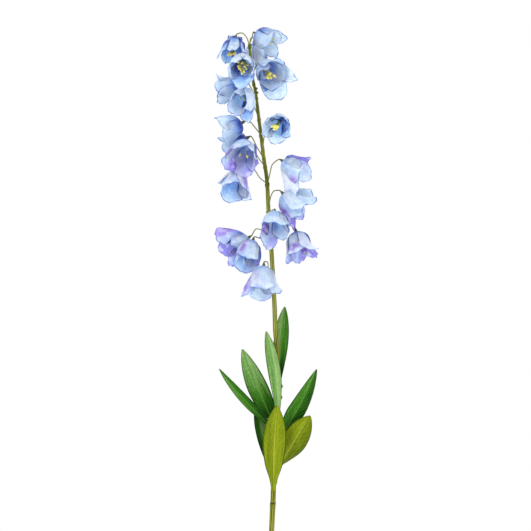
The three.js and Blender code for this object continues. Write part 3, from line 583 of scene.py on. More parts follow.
class Growth(Nodes):
    """A geometry node tree with named inputs, that makes one kind of piece."""

    def __init__(self, name, **inputs):
        super().__init__(bpy.data.node_groups.new(name, "GeometryNodeTree"))
        sides = self.tree.interface
        sides.new_socket(name="Geometry", in_out="INPUT", socket_type="NodeSocketGeometry")
        self.sockets = {}
        for key, kind in dict(inputs, finish="Material").items():
            socket = sides.new_socket(name=spoken(key), in_out="INPUT", socket_type="NodeSocket" + kind)
            self.sockets[key] = socket.identifier
        sides.new_socket(name="Geometry", in_out="OUTPUT", socket_type="NodeSocketGeometry")
        self.inlet = self.tree.nodes.new("NodeGroupInput")

    def given(self, key="geometry"):
        return Value(self, self.inlet.outputs[spoken(key)])

    def line(self):
        return self.add("GeometryNodeMeshToCurve", {"Mesh": self.given()})

    def share(self):
        return self.add("GeometryNodeSplineParameter", output="Factor")

    def read(self, name):
        return self.add("GeometryNodeInputNamedAttribute", {"Name": name}, "Attribute", data_type="FLOAT")

    def store(self, geometry, name, value):
        return self.add("GeometryNodeStoreNamedAttribute", {
            "Geometry": geometry, "Name": name, "Value": value}, data_type="FLOAT", domain="POINT")

    def ring(self, sides, radius=1.0):
        return self.add("GeometryNodeCurvePrimitiveCircle", {"Resolution": sides, "Radius": radius})

    def scaled(self, vector, scale):
        return self.add("ShaderNodeVectorMath", {0: vector, "Scale": scale}, operation="SCALE")

    def swept(self, line, section, swell):
        """A section swept along a line, with the section's points moved out by the swell."""
        place = self.scaled(self.add("GeometryNodeInputPosition"), swell)
        section = self.add("GeometryNodeSetPosition", {"Geometry": section, "Position": place})
        return {"Curve": line, "Profile Curve": section, "Fill Caps": True}

    def end(self, geometry):
        smoothed = self.add("GeometryNodeSetShadeSmooth", {"Geometry": geometry})
        real = self.add("GeometryNodeRealizeInstances", {"Geometry": smoothed})
        painted = self.add("GeometryNodeSetMaterial", {"Geometry": real, "Material": self.given("finish")})
        self.add("NodeGroupOutput", {0: painted})
        return self


def spoken(key):
    return key.replace("_", " ").capitalize()


def cane_tree():
    """Sweeps a ridged round section along lines, as thick as their thickness field says."""
    tree = Growth("ridged_cane", sides="Int", ridges="Float", ridge_depth="Float")
    line = tree.store(tree.line(), "share", tree.share())
    around = tree.share()
    ring = tree.store(tree.ring(tree.given("sides")), "around", around)
    ridge = (around * ROUND * tree.given("ridges")).sine()
    parts = tree.swept(line, ring, ridge * tree.given("ridge_depth") + 1.0)
    return tree.end(tree.add("GeometryNodeCurveToMesh", dict(parts, Scale=tree.read("thickness"))))


def stamen_tree():
    """Filaments along lines, each swelling into a grooved anther at its end."""
    tree = Growth("stamens", filament_radius="Float", anther_radius="Float", anther_share="Float",
                  sides="Int")
    line = tree.add("GeometryNodeResampleCurve", {"Curve": tree.line(), "Count": 30})
    share = tree.share()
    line = tree.store(line, "share", share)
    anther = tree.given("anther_share")
    thin = tree.given("filament_radius")
    swell = share.step(1.0 - anther, 1.0 - anther * 0.6) * share.step(0.9, 1.0, 1.0, 0.35)
    groove = (tree.share() * (2 * ROUND)).cosine()
    parts = tree.swept(line, tree.ring(tree.given("sides")), groove * 0.16 + 1.0)
    radius = swell * (tree.given("anther_radius") - thin) + thin
    return tree.end(tree.add("GeometryNodeCurveToMesh", dict(parts, Scale=radius)))


def knob_tree():
    """A flattened knob on each point, as large as its size field says."""
    tree = Growth("knobs", flatness="Float", seed="Int")
    ball = tree.add("GeometryNodeMeshIcoSphere", {"Radius": 1.0, "Subdivisions": 3})
    flat = tree.add("ShaderNodeCombineXYZ", {"X": 1.0, "Y": 1.0, "Z": tree.given("flatness")})
    spin = tree.add("FunctionNodeRandomValue", {"Seed": tree.given("seed")}, data_type="FLOAT_VECTOR")
    return tree.end(tree.add("GeometryNodeInstanceOnPoints", {
        "Points": tree.given(), "Instance": ball, "Rotation": spin,
        "Scale": tree.scaled(flat, tree.read("size"))}))


def lathe_tree():
    """Turns an outline, drawn as distance from the guide circle and height, round the Z axis."""
    tree = Growth("lathe", guide_radius="Float", sides="Int")
    guide = tree.ring(tree.given("sides"), tree.given("guide_radius"))
    turned_round = tree.add("GeometryNodeCurveToMesh", {"Curve": guide, "Profile Curve": tree.line()})
    return tree.end(tree.add("GeometryNodeMergeByDistance", {"Geometry": turned_round, "Distance": 1e-5}))


def grown(name, lines, growth, fields=None, **inputs):
    """A piece that a node tree makes from open lines, as a plain mesh."""
    edges = []
    start = 0
    for line in lines:
        edges += [(start + k, start + k + 1) for k in range(len(line) - 1)]
        start += len(line)
    piece = new_piece(name, np.concatenate([np.asarray(line) for line in lines]), edges, fields=fields)
    modifier = piece.modifiers.new("grow", "NODES")
    modifier.node_group = growth.tree
    for key, value in inputs.items():
        modifier[growth.sockets[key]] = value
    evaluated = piece.evaluated_get(bpy.context.evaluated_depsgraph_get())
    mesh = bpy.data.meshes.new_from_object(evaluated)
    piece.modifiers.clear()
    piece.data = mesh
    return piece


# Finishes

def colour(shade):
    """A colour from its usual 0 to 255 numbers. One that a node gives stays as it is."""
    def linear(value):
        value = value / 255
        return value / 12.92 if value <= 0.04045 else ((value + 0.055) / 1.055) ** 2.4
    return (*map(linear, shade), 1) if isinstance(shade, tuple) else shade


class Finish(Nodes):
    """A node material, with the shader's own constants set on its sockets."""

    def __init__(self, name, constants):
        self.material = bpy.data.materials.new(name)
        self.material.use_nodes = True
        super().__init__(self.material.node_tree)
        self.shader = self.tree.nodes["Principled BSDF"]
        for socket, value in constants.items():
            self.shader.inputs[socket].default_value = value
        self.place = self.add("ShaderNodeTexCoord", output="Object")

    def fields(self, *names):
        return [self.add("ShaderNodeAttribute", output="Fac", attribute_name=name) for name in names]

    def noise(self, scale, detail, roughness=0.55, vector=None):
        return self.add("ShaderNodeTexNoise", {"Vector": vector or self.place, "Scale": scale,
                                               "Detail": detail, "Roughness": roughness}, "Fac")

    def streaks(self, scale, detail, roughness):
        """Noise with its own scale along each axis."""
        place = self.add("ShaderNodeMapping", {"Vector": self.place, "Scale": scale})
        return self.noise(1, detail, roughness, place)

    def ramp(self, value, stops):
        made = self.add("ShaderNodeValToRGB", {"Fac": value}, "Color")
        elements = made.socket.node.color_ramp.elements
        while len(elements) < len(stops):
            elements.new(0.5)
        for element, (position, _) in zip(elements, stops):
            element.position = position
        for element, (_, shade) in zip(elements, stops):
            element.color = colour(shade)
        return made

    def laid(self, base, *layers):
        """A colour with others laid over it, each as its share and its shade."""
        for share, shade in layers:
            base = self.add("ShaderNodeMix", {0: share, 6: colour(base), 7: colour(shade)}, 2,
                            data_type="RGBA", clamp_result=True)
        return base

    def wear(self, base, roughness, height, distance, strength):
        """Gives the shader its colour, roughness and relief."""
        relief = self.add("ShaderNodeBump", {"Height": height, "Strength": strength, "Distance": distance})
        for socket, value in {"Base Color": base, "Roughness": roughness, "Normal": relief}.items():
            self.tree.links.new(value.socket, self.shader.inputs[socket])
        return self.material


def petal_finish(name, inside_violet):
    """Thin dyed cloth: deep blue at the base, pale at the rim, darker within; a dark line along its cut edge
    that is partly its own edge and partly painted shadow where petals overlap; painted highlights and shadows
    on folds.
    """
    cloth = Finish(name, {
        "Sheen Weight": 0.1, "Sheen Roughness": 0.5, "Specular IOR Level": 0.3,
        "Subsurface Weight": 0.6, "Subsurface Scale": 0.004, "Subsurface Radius": (0.6, 0.8, 1.0)})
    along, across, inside, edge = cloth.fields("along", "across", "inside", "edge")
    tone, glow, dyed = cloth.fields("tone", "glow", "violet")
    clouds = cloth.noise(55, 3)
    mottle = cloth.noise(260, 4, 0.6)
    # Noise for the painted highlights and painted shadows of folds
    painted_folds = cloth.noise(120, 2, 0.4)
    depth = along + (clouds - 0.5) * 0.32 + tone.least(0.0)
    veins = (across * 34.0 + clouds * 5.0).waves(3.0)
    violet = dyed * mottle.step(0.25, 0.6, 0.7, 1.0)
    # Dark line along the cut edge: partly the cloth's own edge, partly painted shadow where petals overlap
    cut = edge.step(0.26, 0.08) * clouds.step(0.35, 0.6, 0.4, 1.0)
    base = cloth.laid(
        cloth.ramp(depth, OUTSIDE_DYE),
        (inside, cloth.ramp(depth + glow, INSIDE_DYE)),
        # Pale mix by tone: partly pale cloth, partly painted light on petals that lie in shade
        (tone.most(0.0) * depth.step(0.05, 0.5, 0.0, 0.9), PALE_DYE_AND_LIGHT),
        (veins * edge.step(0.0, 0.5, 0.05, 0.2), PETAL_VEIN),
        (violet, cloth.laid(OUTSIDE_VIOLET, (inside, inside_violet))),
        (cut, cloth.laid(BLUE_EDGE_AND_SHADOW, (violet, VIOLET_EDGE_AND_SHADOW))),
        # Painted highlights on folds, stronger towards the rim, and painted shadow in them
        (painted_folds.step(0.48, 0.68) * depth.step(0.1, 0.5, 0.0, 0.5), FOLD_HIGHLIGHT),
        (painted_folds.step(0.5, 0.32) * 0.3, FOLD_SHADOW))
    weave = (across * 260.0).sine() + (along * 420.0).sine()
    relief = weave * 0.06 + veins * 0.5 + mottle * 0.8
    return cloth.wear(base, mottle.step(0.2, 0.8, 0.62, 0.82), relief, 0.0004, 0.35)


def leaf_finish(name, dark, middle, pale, vein, grain):
    """Printed cloth with a midrib and side veins that follow the leaf."""
    cloth = Finish(name, {"Sheen Weight": 0.0, "Specular IOR Level": 0.07})
    along, across, tone, halves, dark_base = cloth.fields("along", "across", "tone", "halves", "base")
    clouds = cloth.noise(70, 3)
    fine = cloth.noise(grain, 4, 0.65)
    lengthwise = cloth.add("ShaderNodeCombineXYZ", {"X": across * 4.0, "Y": along * 3.0, "Z": clouds})
    streaks = cloth.noise(1, 4, 0.6, lengthwise)
    # Half shading paints light on one half of the leaf's fold and shade on the other
    shade = tone + across.step(-0.12, 0.12, -1.0, 1.0) * halves + (streaks - 0.5) * 2.0 + (fine - 0.5)
    shade = shade - along.step(0.0, 0.75, 1.0, 0.0) * dark_base + 0.1
    width = across.size()
    side = (along * 90.0 - width * 14.0).waves(9.0)
    rib = width.step(0.1, 0.02)
    base = cloth.laid(
        cloth.ramp(shade * 0.5 + 0.5, [(0.0, dark), (0.5, middle), (1.0, pale)]),
        (side * 0.14, vein), (rib * 0.55, vein), (width.step(0.84, 0.93, 0.0, 0.9), dark))
    relief = rib * 1.2 + side * 0.5 + fine
    return cloth.wear(base, fine.step(0.2, 0.8, 0.5, 0.72), relief, 0.0005, 0.45)


def stem_finish():
    """Satin moulded green with painted shade in the furrows between its ridges, darker at the joint, mottled
    in long streaks.
    """
    plastic = Finish("stem_green", {"Specular IOR Level": 0.2})
    streaks = plastic.streaks((420, 420, 26), 4, 0.6)
    patches = plastic.streaks((60, 60, 14), 3, 0.5)
    # The ridge wave also paints shade into the furrows, lighter on the crests
    ridge = (plastic.fields("around")[0] * ROUND * STEM_RIDGES).sine()
    base = plastic.ramp(ridge * 0.2 + streaks + (patches - 0.5) * 0.5, [
        (0.2, (48, 46, 4)), (0.42, (85, 87, 8)), (0.62, (125, 130, 30)), (0.85, (165, 169, 74))])
    height = plastic.add("ShaderNodeSeparateXYZ", {"Vector": plastic.place}, "Z")
    from_joint = (height - JOINT_HEIGHT * MM).size()
    base = plastic.laid(base, (from_joint.step(0.0014, 0.0004, 0.0, 0.85), (40, 36, 10)))
    return plastic.wear(base, streaks.step(0.2, 0.8, 0.42, 0.62), streaks + ridge * 0.3, 0.0004, 0.4)


def stalk_finish():
    """Satin green that darkens towards the calyx."""
    plastic = Finish("stalk_green", {"Specular IOR Level": 0.4})
    patches = plastic.noise(220, 4, 0.6)
    base = plastic.ramp(plastic.fields("share")[0] + patches * 0.3, [
        (0.1, (128, 140, 56)), (0.6, (122, 126, 44)), (0.95, (92, 98, 34)), (0.951, (70, 80, 30))])
    return plastic.wear(base, patches.step(0.2, 0.8, 0.45, 0.6), patches, 0.0002, 0.3)


def stamen_finish():
    """Matt yellow with grains of pollen, greener at the foot."""
    wax = Finish("stamen_yellow", {"Specular IOR Level": 0.35, "Subsurface Weight": 0.1,
                                   "Subsurface Scale": 0.002})
    pollen = wax.noise(1500, 3, 0.7)
    patches = wax.noise(220, 3)
    base = wax.ramp(wax.fields("share")[0] + (patches - 0.5) * 0.5, [
        (0.0, (120, 124, 40)), (0.35, (178, 180, 84)), (0.6, (214, 202, 70)), (1.0, (240, 228, 120))])
    base = wax.laid(base, (pollen.step(0.55, 0.75, 0.0, 0.4), (150, 140, 36)))
    return wax.wear(base, pollen.step(0.3, 0.7, 0.55, 0.75), pollen, 0.0002, 0.5)


def glass_finish():
    """Clear glass with slow waves and faint smears, greyer where it is seen at a slant."""
    glass = Finish("vase_glass", {"Transmission Weight": 1.0, "IOR": 1.5, "Coat Weight": 0.0})
    waves = glass.noise(18, 2, 0.5)
    smears = glass.noise(90, 4, 0.6)
    slant = glass.add("ShaderNodeLayerWeight", {"Blend": 0.5}, "Facing")
    base = glass.ramp(waves, [(0.3, (244, 250, 249)), (0.7, (250, 253, 253))])
    base = glass.laid(base, (slant.step(0.15, 0.8, 0.0, 0.95), (58, 84, 82)))
    return glass.wear(base, smears.step(0.45, 0.8, 0.0, 0.06), waves, 0.0008, 0.06)


def water_finish():
    """Clear water with a faint ripple."""
    water = Finish("water", {"Transmission Weight": 1.0, "IOR": 1.33})
    ripple = water.noise(60, 2, 0.5)
    base = water.ramp(ripple, [(0.3, (240, 249, 250)), (0.7, (246, 252, 252))])
    return water.wear(base, ripple.step(0.2, 0.9, 0.0, 0.02), ripple, 0.0004, 0.1)


def floor_finish():
    """White card that glows away from the vase, so that it fades into the sky."""
    card = Finish("floor_card", {"Specular IOR Level": 0.2, "Emission Color": (1, 1, 1, 1)})
    tooth = card.noise(240, 4, 0.6)
    base = card.ramp(card.noise(3, 3), [(0.3, (238, 238, 237)), (0.7, (244, 244, 243))])
    away = card.add("ShaderNodeVectorMath", {0: card.place}, "Value", operation="LENGTH")
    card.tree.links.new(away.step(0.15, 0.7, 0.0, 0.5).socket, card.shader.inputs["Emission Strength"])
    return card.wear(base, tooth.step(0.3, 0.7, 0.7, 0.85), tooth, 0.0003, 0.15)


PETAL_BLUE = petal_finish("petal_blue", (128, 118, 214))
PETAL_VIOLET = petal_finish("petal_violet", (124, 78, 190))
LEAF_GREEN = leaf_finish("leaf_green", **GREEN_DYES)
LEAF_LIME = leaf_finish("leaf_lime", **LIME_DYES)
STEM_GREEN = stem_finish()
STALK_GREEN = stalk_finish()
STAMEN_YELLOW = stamen_finish()
VASE_GLASS = glass_finish()
WATER_CLEAR = water_finish()

CANE = cane_tree()
STAMENS = stamen_tree()
KNOB = knob_tree()
LATHE = lathe_tree()


# Bells

def bell_points(bell, local):
    """Points beside a bell, from their distance to its front, to its left and the way it faces."""
    facing = unit(bell["aim"])
    front = np.array([0.0, -1.0, 0.0])
    front = unit(front - facing * np.dot(front, facing))
    axes = np.stack([front, np.cross(facing, front), facing])
    return np.array(bell["seat"], float) + np.asarray(local) @ axes


def petal_midline(length, spread, bend):
    """Radius and height of a petal's middle line, by share of its length."""
    t = (np.arange(MIDLINE_STEPS * LONGEST_REACH) + 0.5) / MIDLINE_STEPS
    shoulder = np.maximum(1 - t / SHOULDER_END, 0) ** CURL_POWER
    curl = np.maximum((t - BEND_START) / (1 - BEND_START), 0) ** CURL_POWER
    angle = np.radians(spread + (SHOULDER_ANGLE - spread) * shoulder + bend * curl)
    radius = DISC_RADIUS + running(np.sin(angle)) * length / MIDLINE_STEPS
    height = running(np.cos(angle)) * length / MIDLINE_STEPS
    return np.arange(len(radius)) / MIDLINE_STEPS, radius, height


def petal_end(across, sharp, draw):
    """How far each column of a petal reaches: a rounded or sharp end, a small point and uneven scallops."""
    rounded = np.sqrt(np.clip(1 - np.abs(across) ** TIP_POWER, 0, 1))
    rounded = TIP_START + (1 - TIP_START) * (rounded + sharp * (1 - np.abs(across) - rounded))
    point = TIP_POINT * np.exp(-np.abs(across) / TIP_POINT_WIDTH)
    scallops = sum(size * np.sin(across * count + share * draw["phase"]) for size, count, share in SCALLOPS)
    return rounded + point + scallops * (1 - across ** 2)


def petal_relief(petal, draw, across, t, surface):
    """How far the cloth stands out from its plain surface at each point."""
    outer = smooth(t, *OUTER_PART)
    relief = FLARE * np.abs(across) ** FLARE_POWER * outer
    for share, count, shift, power in RIPPLES:
        relief = relief + share * petal["ripple"] * np.sin(across * count + draw[shift]) * outer ** power
    fold = np.exp(-(across / FOLD_WIDTH) ** 2) * smooth(t, 0, FOLD_END) * (1 - FOLD_FADE * outer)
    start, fade, end = PLEAT_PART
    pleats = np.sin(across * PLEAT_COUNT + draw["wave"]) * smooth(t, 0, start) * (1 - smooth(t, fade, end))
    lumps = np.array([[noise.noise(Vector(tuple(p * LUMP_PITCH + draw["where"]))) for p in row]
                      for row in surface])
    creases, slant, breaks = CRUMPLE_COUNTS
    crumple = np.abs(np.sin(across * creases + t * slant + draw["phase"]))
    crumple = crumple * np.sin(t * breaks + draw["wave"])
    relief = relief - petal["fold"] * fold + PLEAT_DEPTH * pleats
    return relief + (LUMP_HEIGHT * lumps + CRUMPLE_DEPTH * crumple) * smooth(t, 0, CRUMPLE_END)


def petal_dye(petal, across, t):
    """How far a petal is dyed violet at each point."""
    strength = abs(petal["violet"])
    side = np.sign(petal["violet"]) or 1
    aside, up = DYE_SLANT
    dyed = min(strength, 1) * smooth(across * side * aside + up * t, *DYE_RIM)
    dyed = np.maximum(dyed, max(strength - 1, 0)) * smooth(t, DYE_START, DYE_END)
    where, reach, blush, wide, tall = petal["patch"]
    blush = blush * np.exp(-((across - where) / wide) ** 2 - ((t - reach) / tall) ** 2)
    return np.minimum(np.maximum(dyed, blush), 1)


def petal_sheet(sheets, bell, petal, draw):
    """One petal as a closed sheet of cloth."""
    across = np.linspace(-1, 1, PETAL_COLUMNS)[None, :]
    share = (np.linspace(0, 1, PETAL_ROWS) ** ROW_SPACING)[:, None]
    end = petal_end(across, petal["point"], draw)
    t = share * end
    at, radius, height = petal_midline(petal["length"], petal["spread"], petal["bend"])
    r = np.interp(t, at, radius)
    z = np.interp(t, at, height)
    wrap = np.radians(WRAP_START + (WRAP_MIDDLE - WRAP_START) * smooth(t, 0, WRAP_END)) * petal["wrap"]
    wrap = wrap * (1 + petal["widen"] * smooth(t, WIDEN_START, 1))
    twist = math.radians(petal["twist"]) * smooth(t, 0, TWIST_END)
    angle = math.radians(petal["turn"]) + across * wrap * np.cos(twist)
    r = r + OVERLAP_LIFT * across * smooth(t, 0, LIFT_END) * (1 - np.minimum(t, 1) ** 4)
    r = r - petal["inset"] * smooth(t, 0, LIFT_END)
    surface = joined(r * np.cos(angle), r * np.sin(angle), z + petal["raised"])
    relief = petal_relief(petal, draw, across, t, surface) + across * r * wrap * np.sin(twist)
    surface = surface + normals(surface) * relief[..., None]
    from_edge = np.minimum((1 - share) * end * petal["length"], (1 - np.abs(across)) * wrap * r)
    sheets.add(bell_points(bell, surface), PETAL_CLOTH, ((across + 1) / 2, t / UV_REACH), across=across,
               along=t + petal["lift"] * smooth(t, 0, 0.1) * (1 - t) ** 2,
               edge=np.clip(from_edge / CUT_EDGE, 0, 1), tone=draw["tone"] + petal["tone"],
               glow=petal["glow"], violet=petal_dye(petal, across, t))


def hub_sheet(sheets, bell):
    """The small disc that the petals start from."""
    turns = np.linspace(0, ROUND, DISC_SIDES + 1)[None, :]
    radius = np.linspace(DISC_HOLE, DISC_REACH, 4)[:, None]
    surface = joined(radius * np.cos(turns), radius * np.sin(turns), DISC_RISE * radius ** 1.5)
    sheets.add(bell_points(bell, surface), PETAL_CLOTH, (0, 0), across=0, along=0, edge=1, tone=0, glow=0,
               violet=0)


def petal_trait(bell, trait, p):
    """A trait of one of the bell's five petals."""
    given = bell.get(trait, {})
    if isinstance(given, dict):
        return given.get(p, PLAIN_PETAL[trait])
    return given[p] if isinstance(given, tuple) else given


def bell_petals(number, bell):
    """The traits of the bell's five petals, and of any beside them."""
    made = []
    for p in range(PETALS):
        petal = {trait: petal_trait(bell, trait, p) for trait in PLAIN_PETAL}
        petal["turn"] = bell.get("roll", 0) + 360 * p / PETALS + petal["swing"]
        petal["length"] = bell["length"] * petal["reach"]
        made.append(petal)
    return made + [dict(PLAIN_PETAL, **extra) for extra in EXTRA_PETALS.get(number, [])]


def make_bell(number, bell):
    draws = random.Random(BELL_SEED + number)
    sheets = Sheets()
    for petal in bell_petals(number, bell):
        draw = dict(phase=draws.uniform(*SHIFTS), wave=draws.uniform(*SHIFTS),
                    tone=draws.uniform(-PETAL_TONES, PETAL_TONES),
                    where=np.array([draws.uniform(0, LUMP_SPREAD) for _ in range(3)]))
        petal_sheet(sheets, bell, petal, draw)
    hub_sheet(sheets, bell)
    violet = number >= FIRST_VIOLET_BELL
    piece = sheets.piece(f"petals_{number:02d}", PETAL_VIOLET if violet else PETAL_BLUE)
    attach(piece, ROOT)
    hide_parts(f"bloom_{number:02d}")


def make_stamens(number, bell):
    draws = random.Random(STAMEN_SEED + number)
    detail = dict(PLAIN_STAMENS, **STAMEN_DETAILS.get(number, {}))
    share = STAMEN_SHARES[number - 1]
    lines = []
    for f in range(detail["count"]):
        turn = bell.get("roll", 0) + 360 * (f + 0.5) / detail["count"]
        angle = math.radians(turn) + draws.uniform(*STAMEN_TURNS)
        reach = bell["length"] * (share + draws.uniform(*STAMEN_REACHES))
        width = STAMEN_SPREAD * detail["width"] * draws.uniform(*STAMEN_WIDTHS)
        z = np.linspace(FILAMENT_START, reach, FILAMENT_STEPS)
        rise = (z / reach) ** STAMEN_POWER
        out = FILAMENT_FOOT + (width - FILAMENT_FOOT) * rise
        bow = draws.uniform(-1, 1) * np.sin(z / reach * math.pi)
        front, left = detail["lean"]
        local = joined(out * np.cos(angle) - bow * np.sin(angle) + front * rise,
                       out * np.sin(angle) + bow * np.cos(angle) + left * rise, z)
        lines.append(bell_points(bell, local))
    piece = grown(f"anthers_{number:02d}", lines, STAMENS, finish=STAMEN_YELLOW, sides=STAMEN_SIDES,
                  filament_radius=FILAMENT_RADIUS * detail["thin"] * MM, anther_radius=detail["size"] * MM,
                  anther_share=ANTHER_LENGTH / (bell["length"] * share))
    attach(piece, ROOT)
    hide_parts(f"stamens_{number:02d}")


# Stem, stalks and knobs

def make_stem():
    for name, node, low, high in (("stem_lower_fine", "stem_lower", STEM_FOOT, JOINT_HEIGHT - JOINT_GAP),
                                  ("stem_upper_fine", "stem_upper", JOINT_HEIGHT, STEM_TOP)):
        heights = np.arange(low, high, STEM_STEP).tolist() + [high]
        line = [stem_at(h) for h in heights]
        thickness = [by_height(STEM_RADII, h) * MM for h in heights]
        piece = grown(name, [line], CANE, {"thickness": thickness}, finish=STEM_GREEN, sides=STEM_SIDES,
                      ridges=STEM_RIDGES, ridge_depth=STEM_RIDGE_DEPTH)
        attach(piece, ROOT)
        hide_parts(node)


def make_stalks():
    lines = []
    thickness = []
    for bell in BELLS:
        calyx = [bell_points(bell, (0, 0, z)) for z in CALYX_STEM]
        path = Path(catmull_rom([stem_at(bell["rise"]), *bell["way"], *calyx], 16))
        shares = np.linspace(0, STALK_END, STALK_STEPS)
        lines.append([*path.at(shares), *(bell_points(bell, (0, 0, z)) for z, _ in CALYX_SHAPE)])
        widths = [STALK_RADIUS * (1 + STALK_SWELL * max(1 - s / STALK_SWELL_END, 0) ** 2) for s in shares]
        thickness += [w * MM for w in widths + [radius for _, radius in CALYX_SHAPE]]
    piece = grown("stalks", lines, CANE, {"thickness": thickness}, finish=STALK_GREEN, sides=STALK_SIDES,
                  ridges=0.0, ridge_depth=0.0)
    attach(piece, ROOT)


def make_knobs():
    points = [[stem_at(bell["rise"] - 1)] for bell in BELLS]
    sizes = [(by_height(STEM_RADII, bell["rise"]) + KNOB_AT_STALK) * MM for bell in BELLS]
    for height, size in KNOBS:
        out = by_height(STEM_RADII, height) + 0.5 * size - 0.5
        points.append([stem_at(height) + np.array([out, -1, 0])])
        sizes.append(size * MM)
    piece = grown("knobs", points, KNOB, {"size": sizes}, finish=STEM_GREEN, flatness=KNOB_FLATNESS,
                  seed=KNOB_SEED)
    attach(piece, ROOT)


# Leaves

def leaf_rows(leaf, phase):
    """The leaf's surface as rows of points from its clasp to its tip, and the share of each row."""
    side = math.radians(leaf["side"])
    out = np.array([math.cos(side), math.sin(side), 0.0])
    centre = stem_at(leaf["height"])
    clasp_radius = by_height(CLASP_RADII, leaf["height"])
    start = centre + out * clasp_radius
    upward = unit(stem_at(leaf["height"] + 1) - centre)
    tip = np.array(leaf["tip"], float)
    bow = start + upward * np.linalg.norm(tip - start) * LEAF_RISE
    s = np.linspace(0, 1, LEAF_CURVE_STEPS)[:, None]
    curve = Path(start * (1 - s) ** 3 + 3 * bow * s * (1 - s) ** 2
                 + 3 * np.array(leaf["towards"]) * s ** 2 * (1 - s) + tip * s ** 3)
    power = math.log(0.5) / math.log(leaf["widest"])
    clasp_width = math.radians(leaf["clasp"]) * clasp_radius
    across = np.linspace(-1, 1, LEAF_COLUMNS)
    shares = np.linspace(0, LEAF_END, LEAF_ROWS)
    rows = []
    for t in shares:
        tangent = curve.tangent(t)
        outward = unit(out - tangent * np.dot(out, tangent))
        outward = turned(outward, tangent, math.radians(leaf["turn"]) * float(smooth(t, 0, LEAF_TURN_END)))
        lateral = np.cross(tangent, outward)
        half = leaf["width"] / 2 * max(math.sin(math.pi * t ** power), 0) ** LEAF_FULLNESS
        half = half + clasp_width * (1 - t) ** 3
        curvature = 1 / clasp_radius + (LEAF_CURVE - 1 / clasp_radius) * smooth(t, 0, CLASP_END)
        angle = half * across * curvature
        fold = -LEAF_FOLD * np.exp(-(across / LEAF_FOLD_WIDTH) ** 2)
        wave = LEAF_WAVE * np.sin(t * LEAF_WAVES + phase + across * 1.5) * across ** 2
        height = (np.cos(angle) - 1) / curvature + (fold + wave) * smooth(t, *LEAF_OPEN_PART)
        rows.append(curve.at(t) + np.outer(np.sin(angle) / curvature, lateral) + np.outer(height, outward))
    return np.array(rows), across[None, :], shares[:, None]


def make_leaf(number, leaf):
    draws = random.Random(LEAF_SEED + number)
    surface, across, along = leaf_rows(leaf, draws.uniform(*SHIFTS))
    sheets = Sheets()
    sheets.add(surface, LEAF_CLOTH, ((across + 1) / 2, along), across=across, along=along, tone=leaf["tone"],
               halves=leaf["halves"], base=leaf["base"])
    lime = number in LIME_LEAVES
    piece = sheets.piece(f"blade_{number}", LEAF_LIME if lime else LEAF_GREEN)
    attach(piece, ROOT)
    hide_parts(f"leaf_{number}")


# Vase and water

def make_vase():
    neck = stem_at(VASE_NECK_HEIGHT)
    neck_radius = math.hypot(neck[0], neck[1]) + VASE_NECK_ROOM + VASE_WALL
    throat = (neck_radius + VASE_THROAT[0], VASE_THROAT[1])
    side = VASE_SIDE + [throat, (neck_radius, VASE_NECK_HEIGHT), VASE_LIP]
    wall = Path(catmull_rom([(r, 0, z) for r, z in side], 10)).at(np.linspace(0, 1, VASE_STEPS))[:, [0, 2]]
    step = np.gradient(wall, axis=0)
    inner = wall + unit(joined(-step[:, 1], step[:, 0])) * VASE_WALL
    inner = inner[inner[:, 1] > VASE_FLOOR + VASE_CORNER]
    lip = [wall[-1] + np.array([math.cos(a) - 1, math.sin(a)]) * VASE_WALL / 2
           for a in np.linspace(0, math.pi, 7)[1:-1]]
    corner = [inner[0] - VASE_CORNER * np.array([1 - math.cos(a), math.sin(a)])
              for a in np.linspace(0, math.pi / 2, 6)[1:]]
    lathe_piece("vase_glass_body", [*VASE_FOOT, *wall, *lip, *inner[::-1], *corner, (0, VASE_FLOOR)],
                VASE_GLASS, "vase")
    wet = inner[inner[:, 1] < WATER_LEVEL - 0.5] + np.array([WATER_SINK, 0])
    edge = float(np.interp(WATER_LEVEL, inner[:, 1], inner[:, 0]))
    meniscus = [(edge + r, WATER_LEVEL + z) for r, z in MENISCUS]
    bottom = [(0, VASE_FLOOR - WATER_SINK)] + [(r + 0.1, z - 0.1) for r, z in corner[::-1]]
    lathe_piece("water_body", [*bottom, *wet, *meniscus, (0, WATER_LEVEL)], WATER_CLEAR, "water")


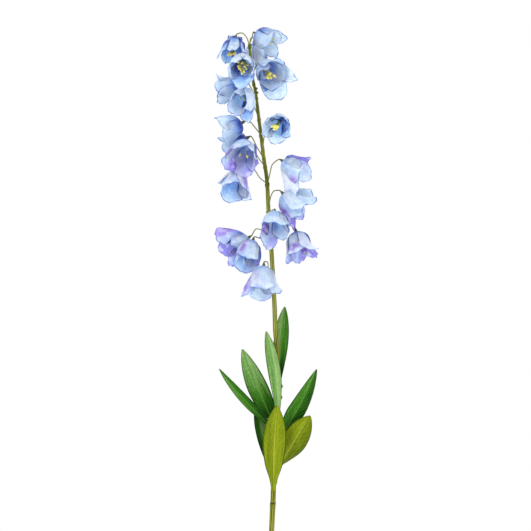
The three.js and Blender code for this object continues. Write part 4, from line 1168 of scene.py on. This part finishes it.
def lathe_piece(name, outline, material, node):
    """A piece turned round the Z axis from its outline."""
    piece = grown(name, [[(r - LATHE_GUIDE, -z, 0) for r, z in outline[::-1]]], LATHE, finish=material,
                  guide_radius=LATHE_GUIDE * MM, sides=VASE_SIDES)
    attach(piece, ROOT)
    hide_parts(node)


# Stage

def make_stage():
    turns = np.arange(FLOOR_SIDES) * ROUND / FLOOR_SIDES
    rim = [(FLOOR_RADIUS * math.cos(a), FLOOR_RADIUS * math.sin(a), -FLOOR_DROP) for a in turns]
    floor = new_piece("floor", rim, faces=[range(FLOOR_SIDES)])
    floor.data.polygons.foreach_set("use_smooth", [True])
    floor.data.materials.append(floor_finish())
    world = bpy.data.worlds.new("studio")
    world.use_nodes = True
    bpy.context.scene.world = world
    world.node_tree.nodes.clear()
    sky = Nodes(world.node_tree)
    seen = sky.add("ShaderNodeBackground", SKY_SEEN)
    light = sky.add("ShaderNodeBackground", SKY_LIGHT)
    looked_at = sky.add("ShaderNodeLightPath", output="Is Camera Ray")
    sky.add("ShaderNodeOutputWorld", {0: sky.add("ShaderNodeMixShader", {0: looked_at, 1: light, 2: seen})})
    for name, place, size, power in LAMPS:
        lamp = bpy.data.lights.new(name, "AREA")
        lamp.shape = "DISK"
        lamp.size = size
        lamp.energy = power
        holder = added(name, lamp)
        holder.location = place
        aim = Vector(LAMPS_AIM) - Vector(place)
        holder.rotation_euler = aim.to_track_quat("-Z", "Y").to_euler()


def make_camera():
    lens = bpy.data.cameras.new("camera")
    lens.sensor_width = SENSOR_WIDTH
    lens.lens = SENSOR_WIDTH * VIEW_DISTANCE / VIEW_WIDTH
    camera = added("camera", lens)
    camera.location = (VIEW_MIDDLE[0] * MM, -VIEW_DISTANCE * MM, VIEW_MIDDLE[1] * MM)
    camera.rotation_euler = (math.pi / 2, 0, 0)
    bpy.context.scene.camera = camera


make_camera()
make_stage()
bpy.context.scene.view_settings.view_transform = "Standard"
make_vase()
make_stem()
make_stalks()
make_knobs()
for number, leaf in enumerate(LEAVES, 1):
    make_leaf(number, leaf)
for number, bell in enumerate(BELLS, 1):
    make_bell(number, bell)
    make_stamens(number, bell)
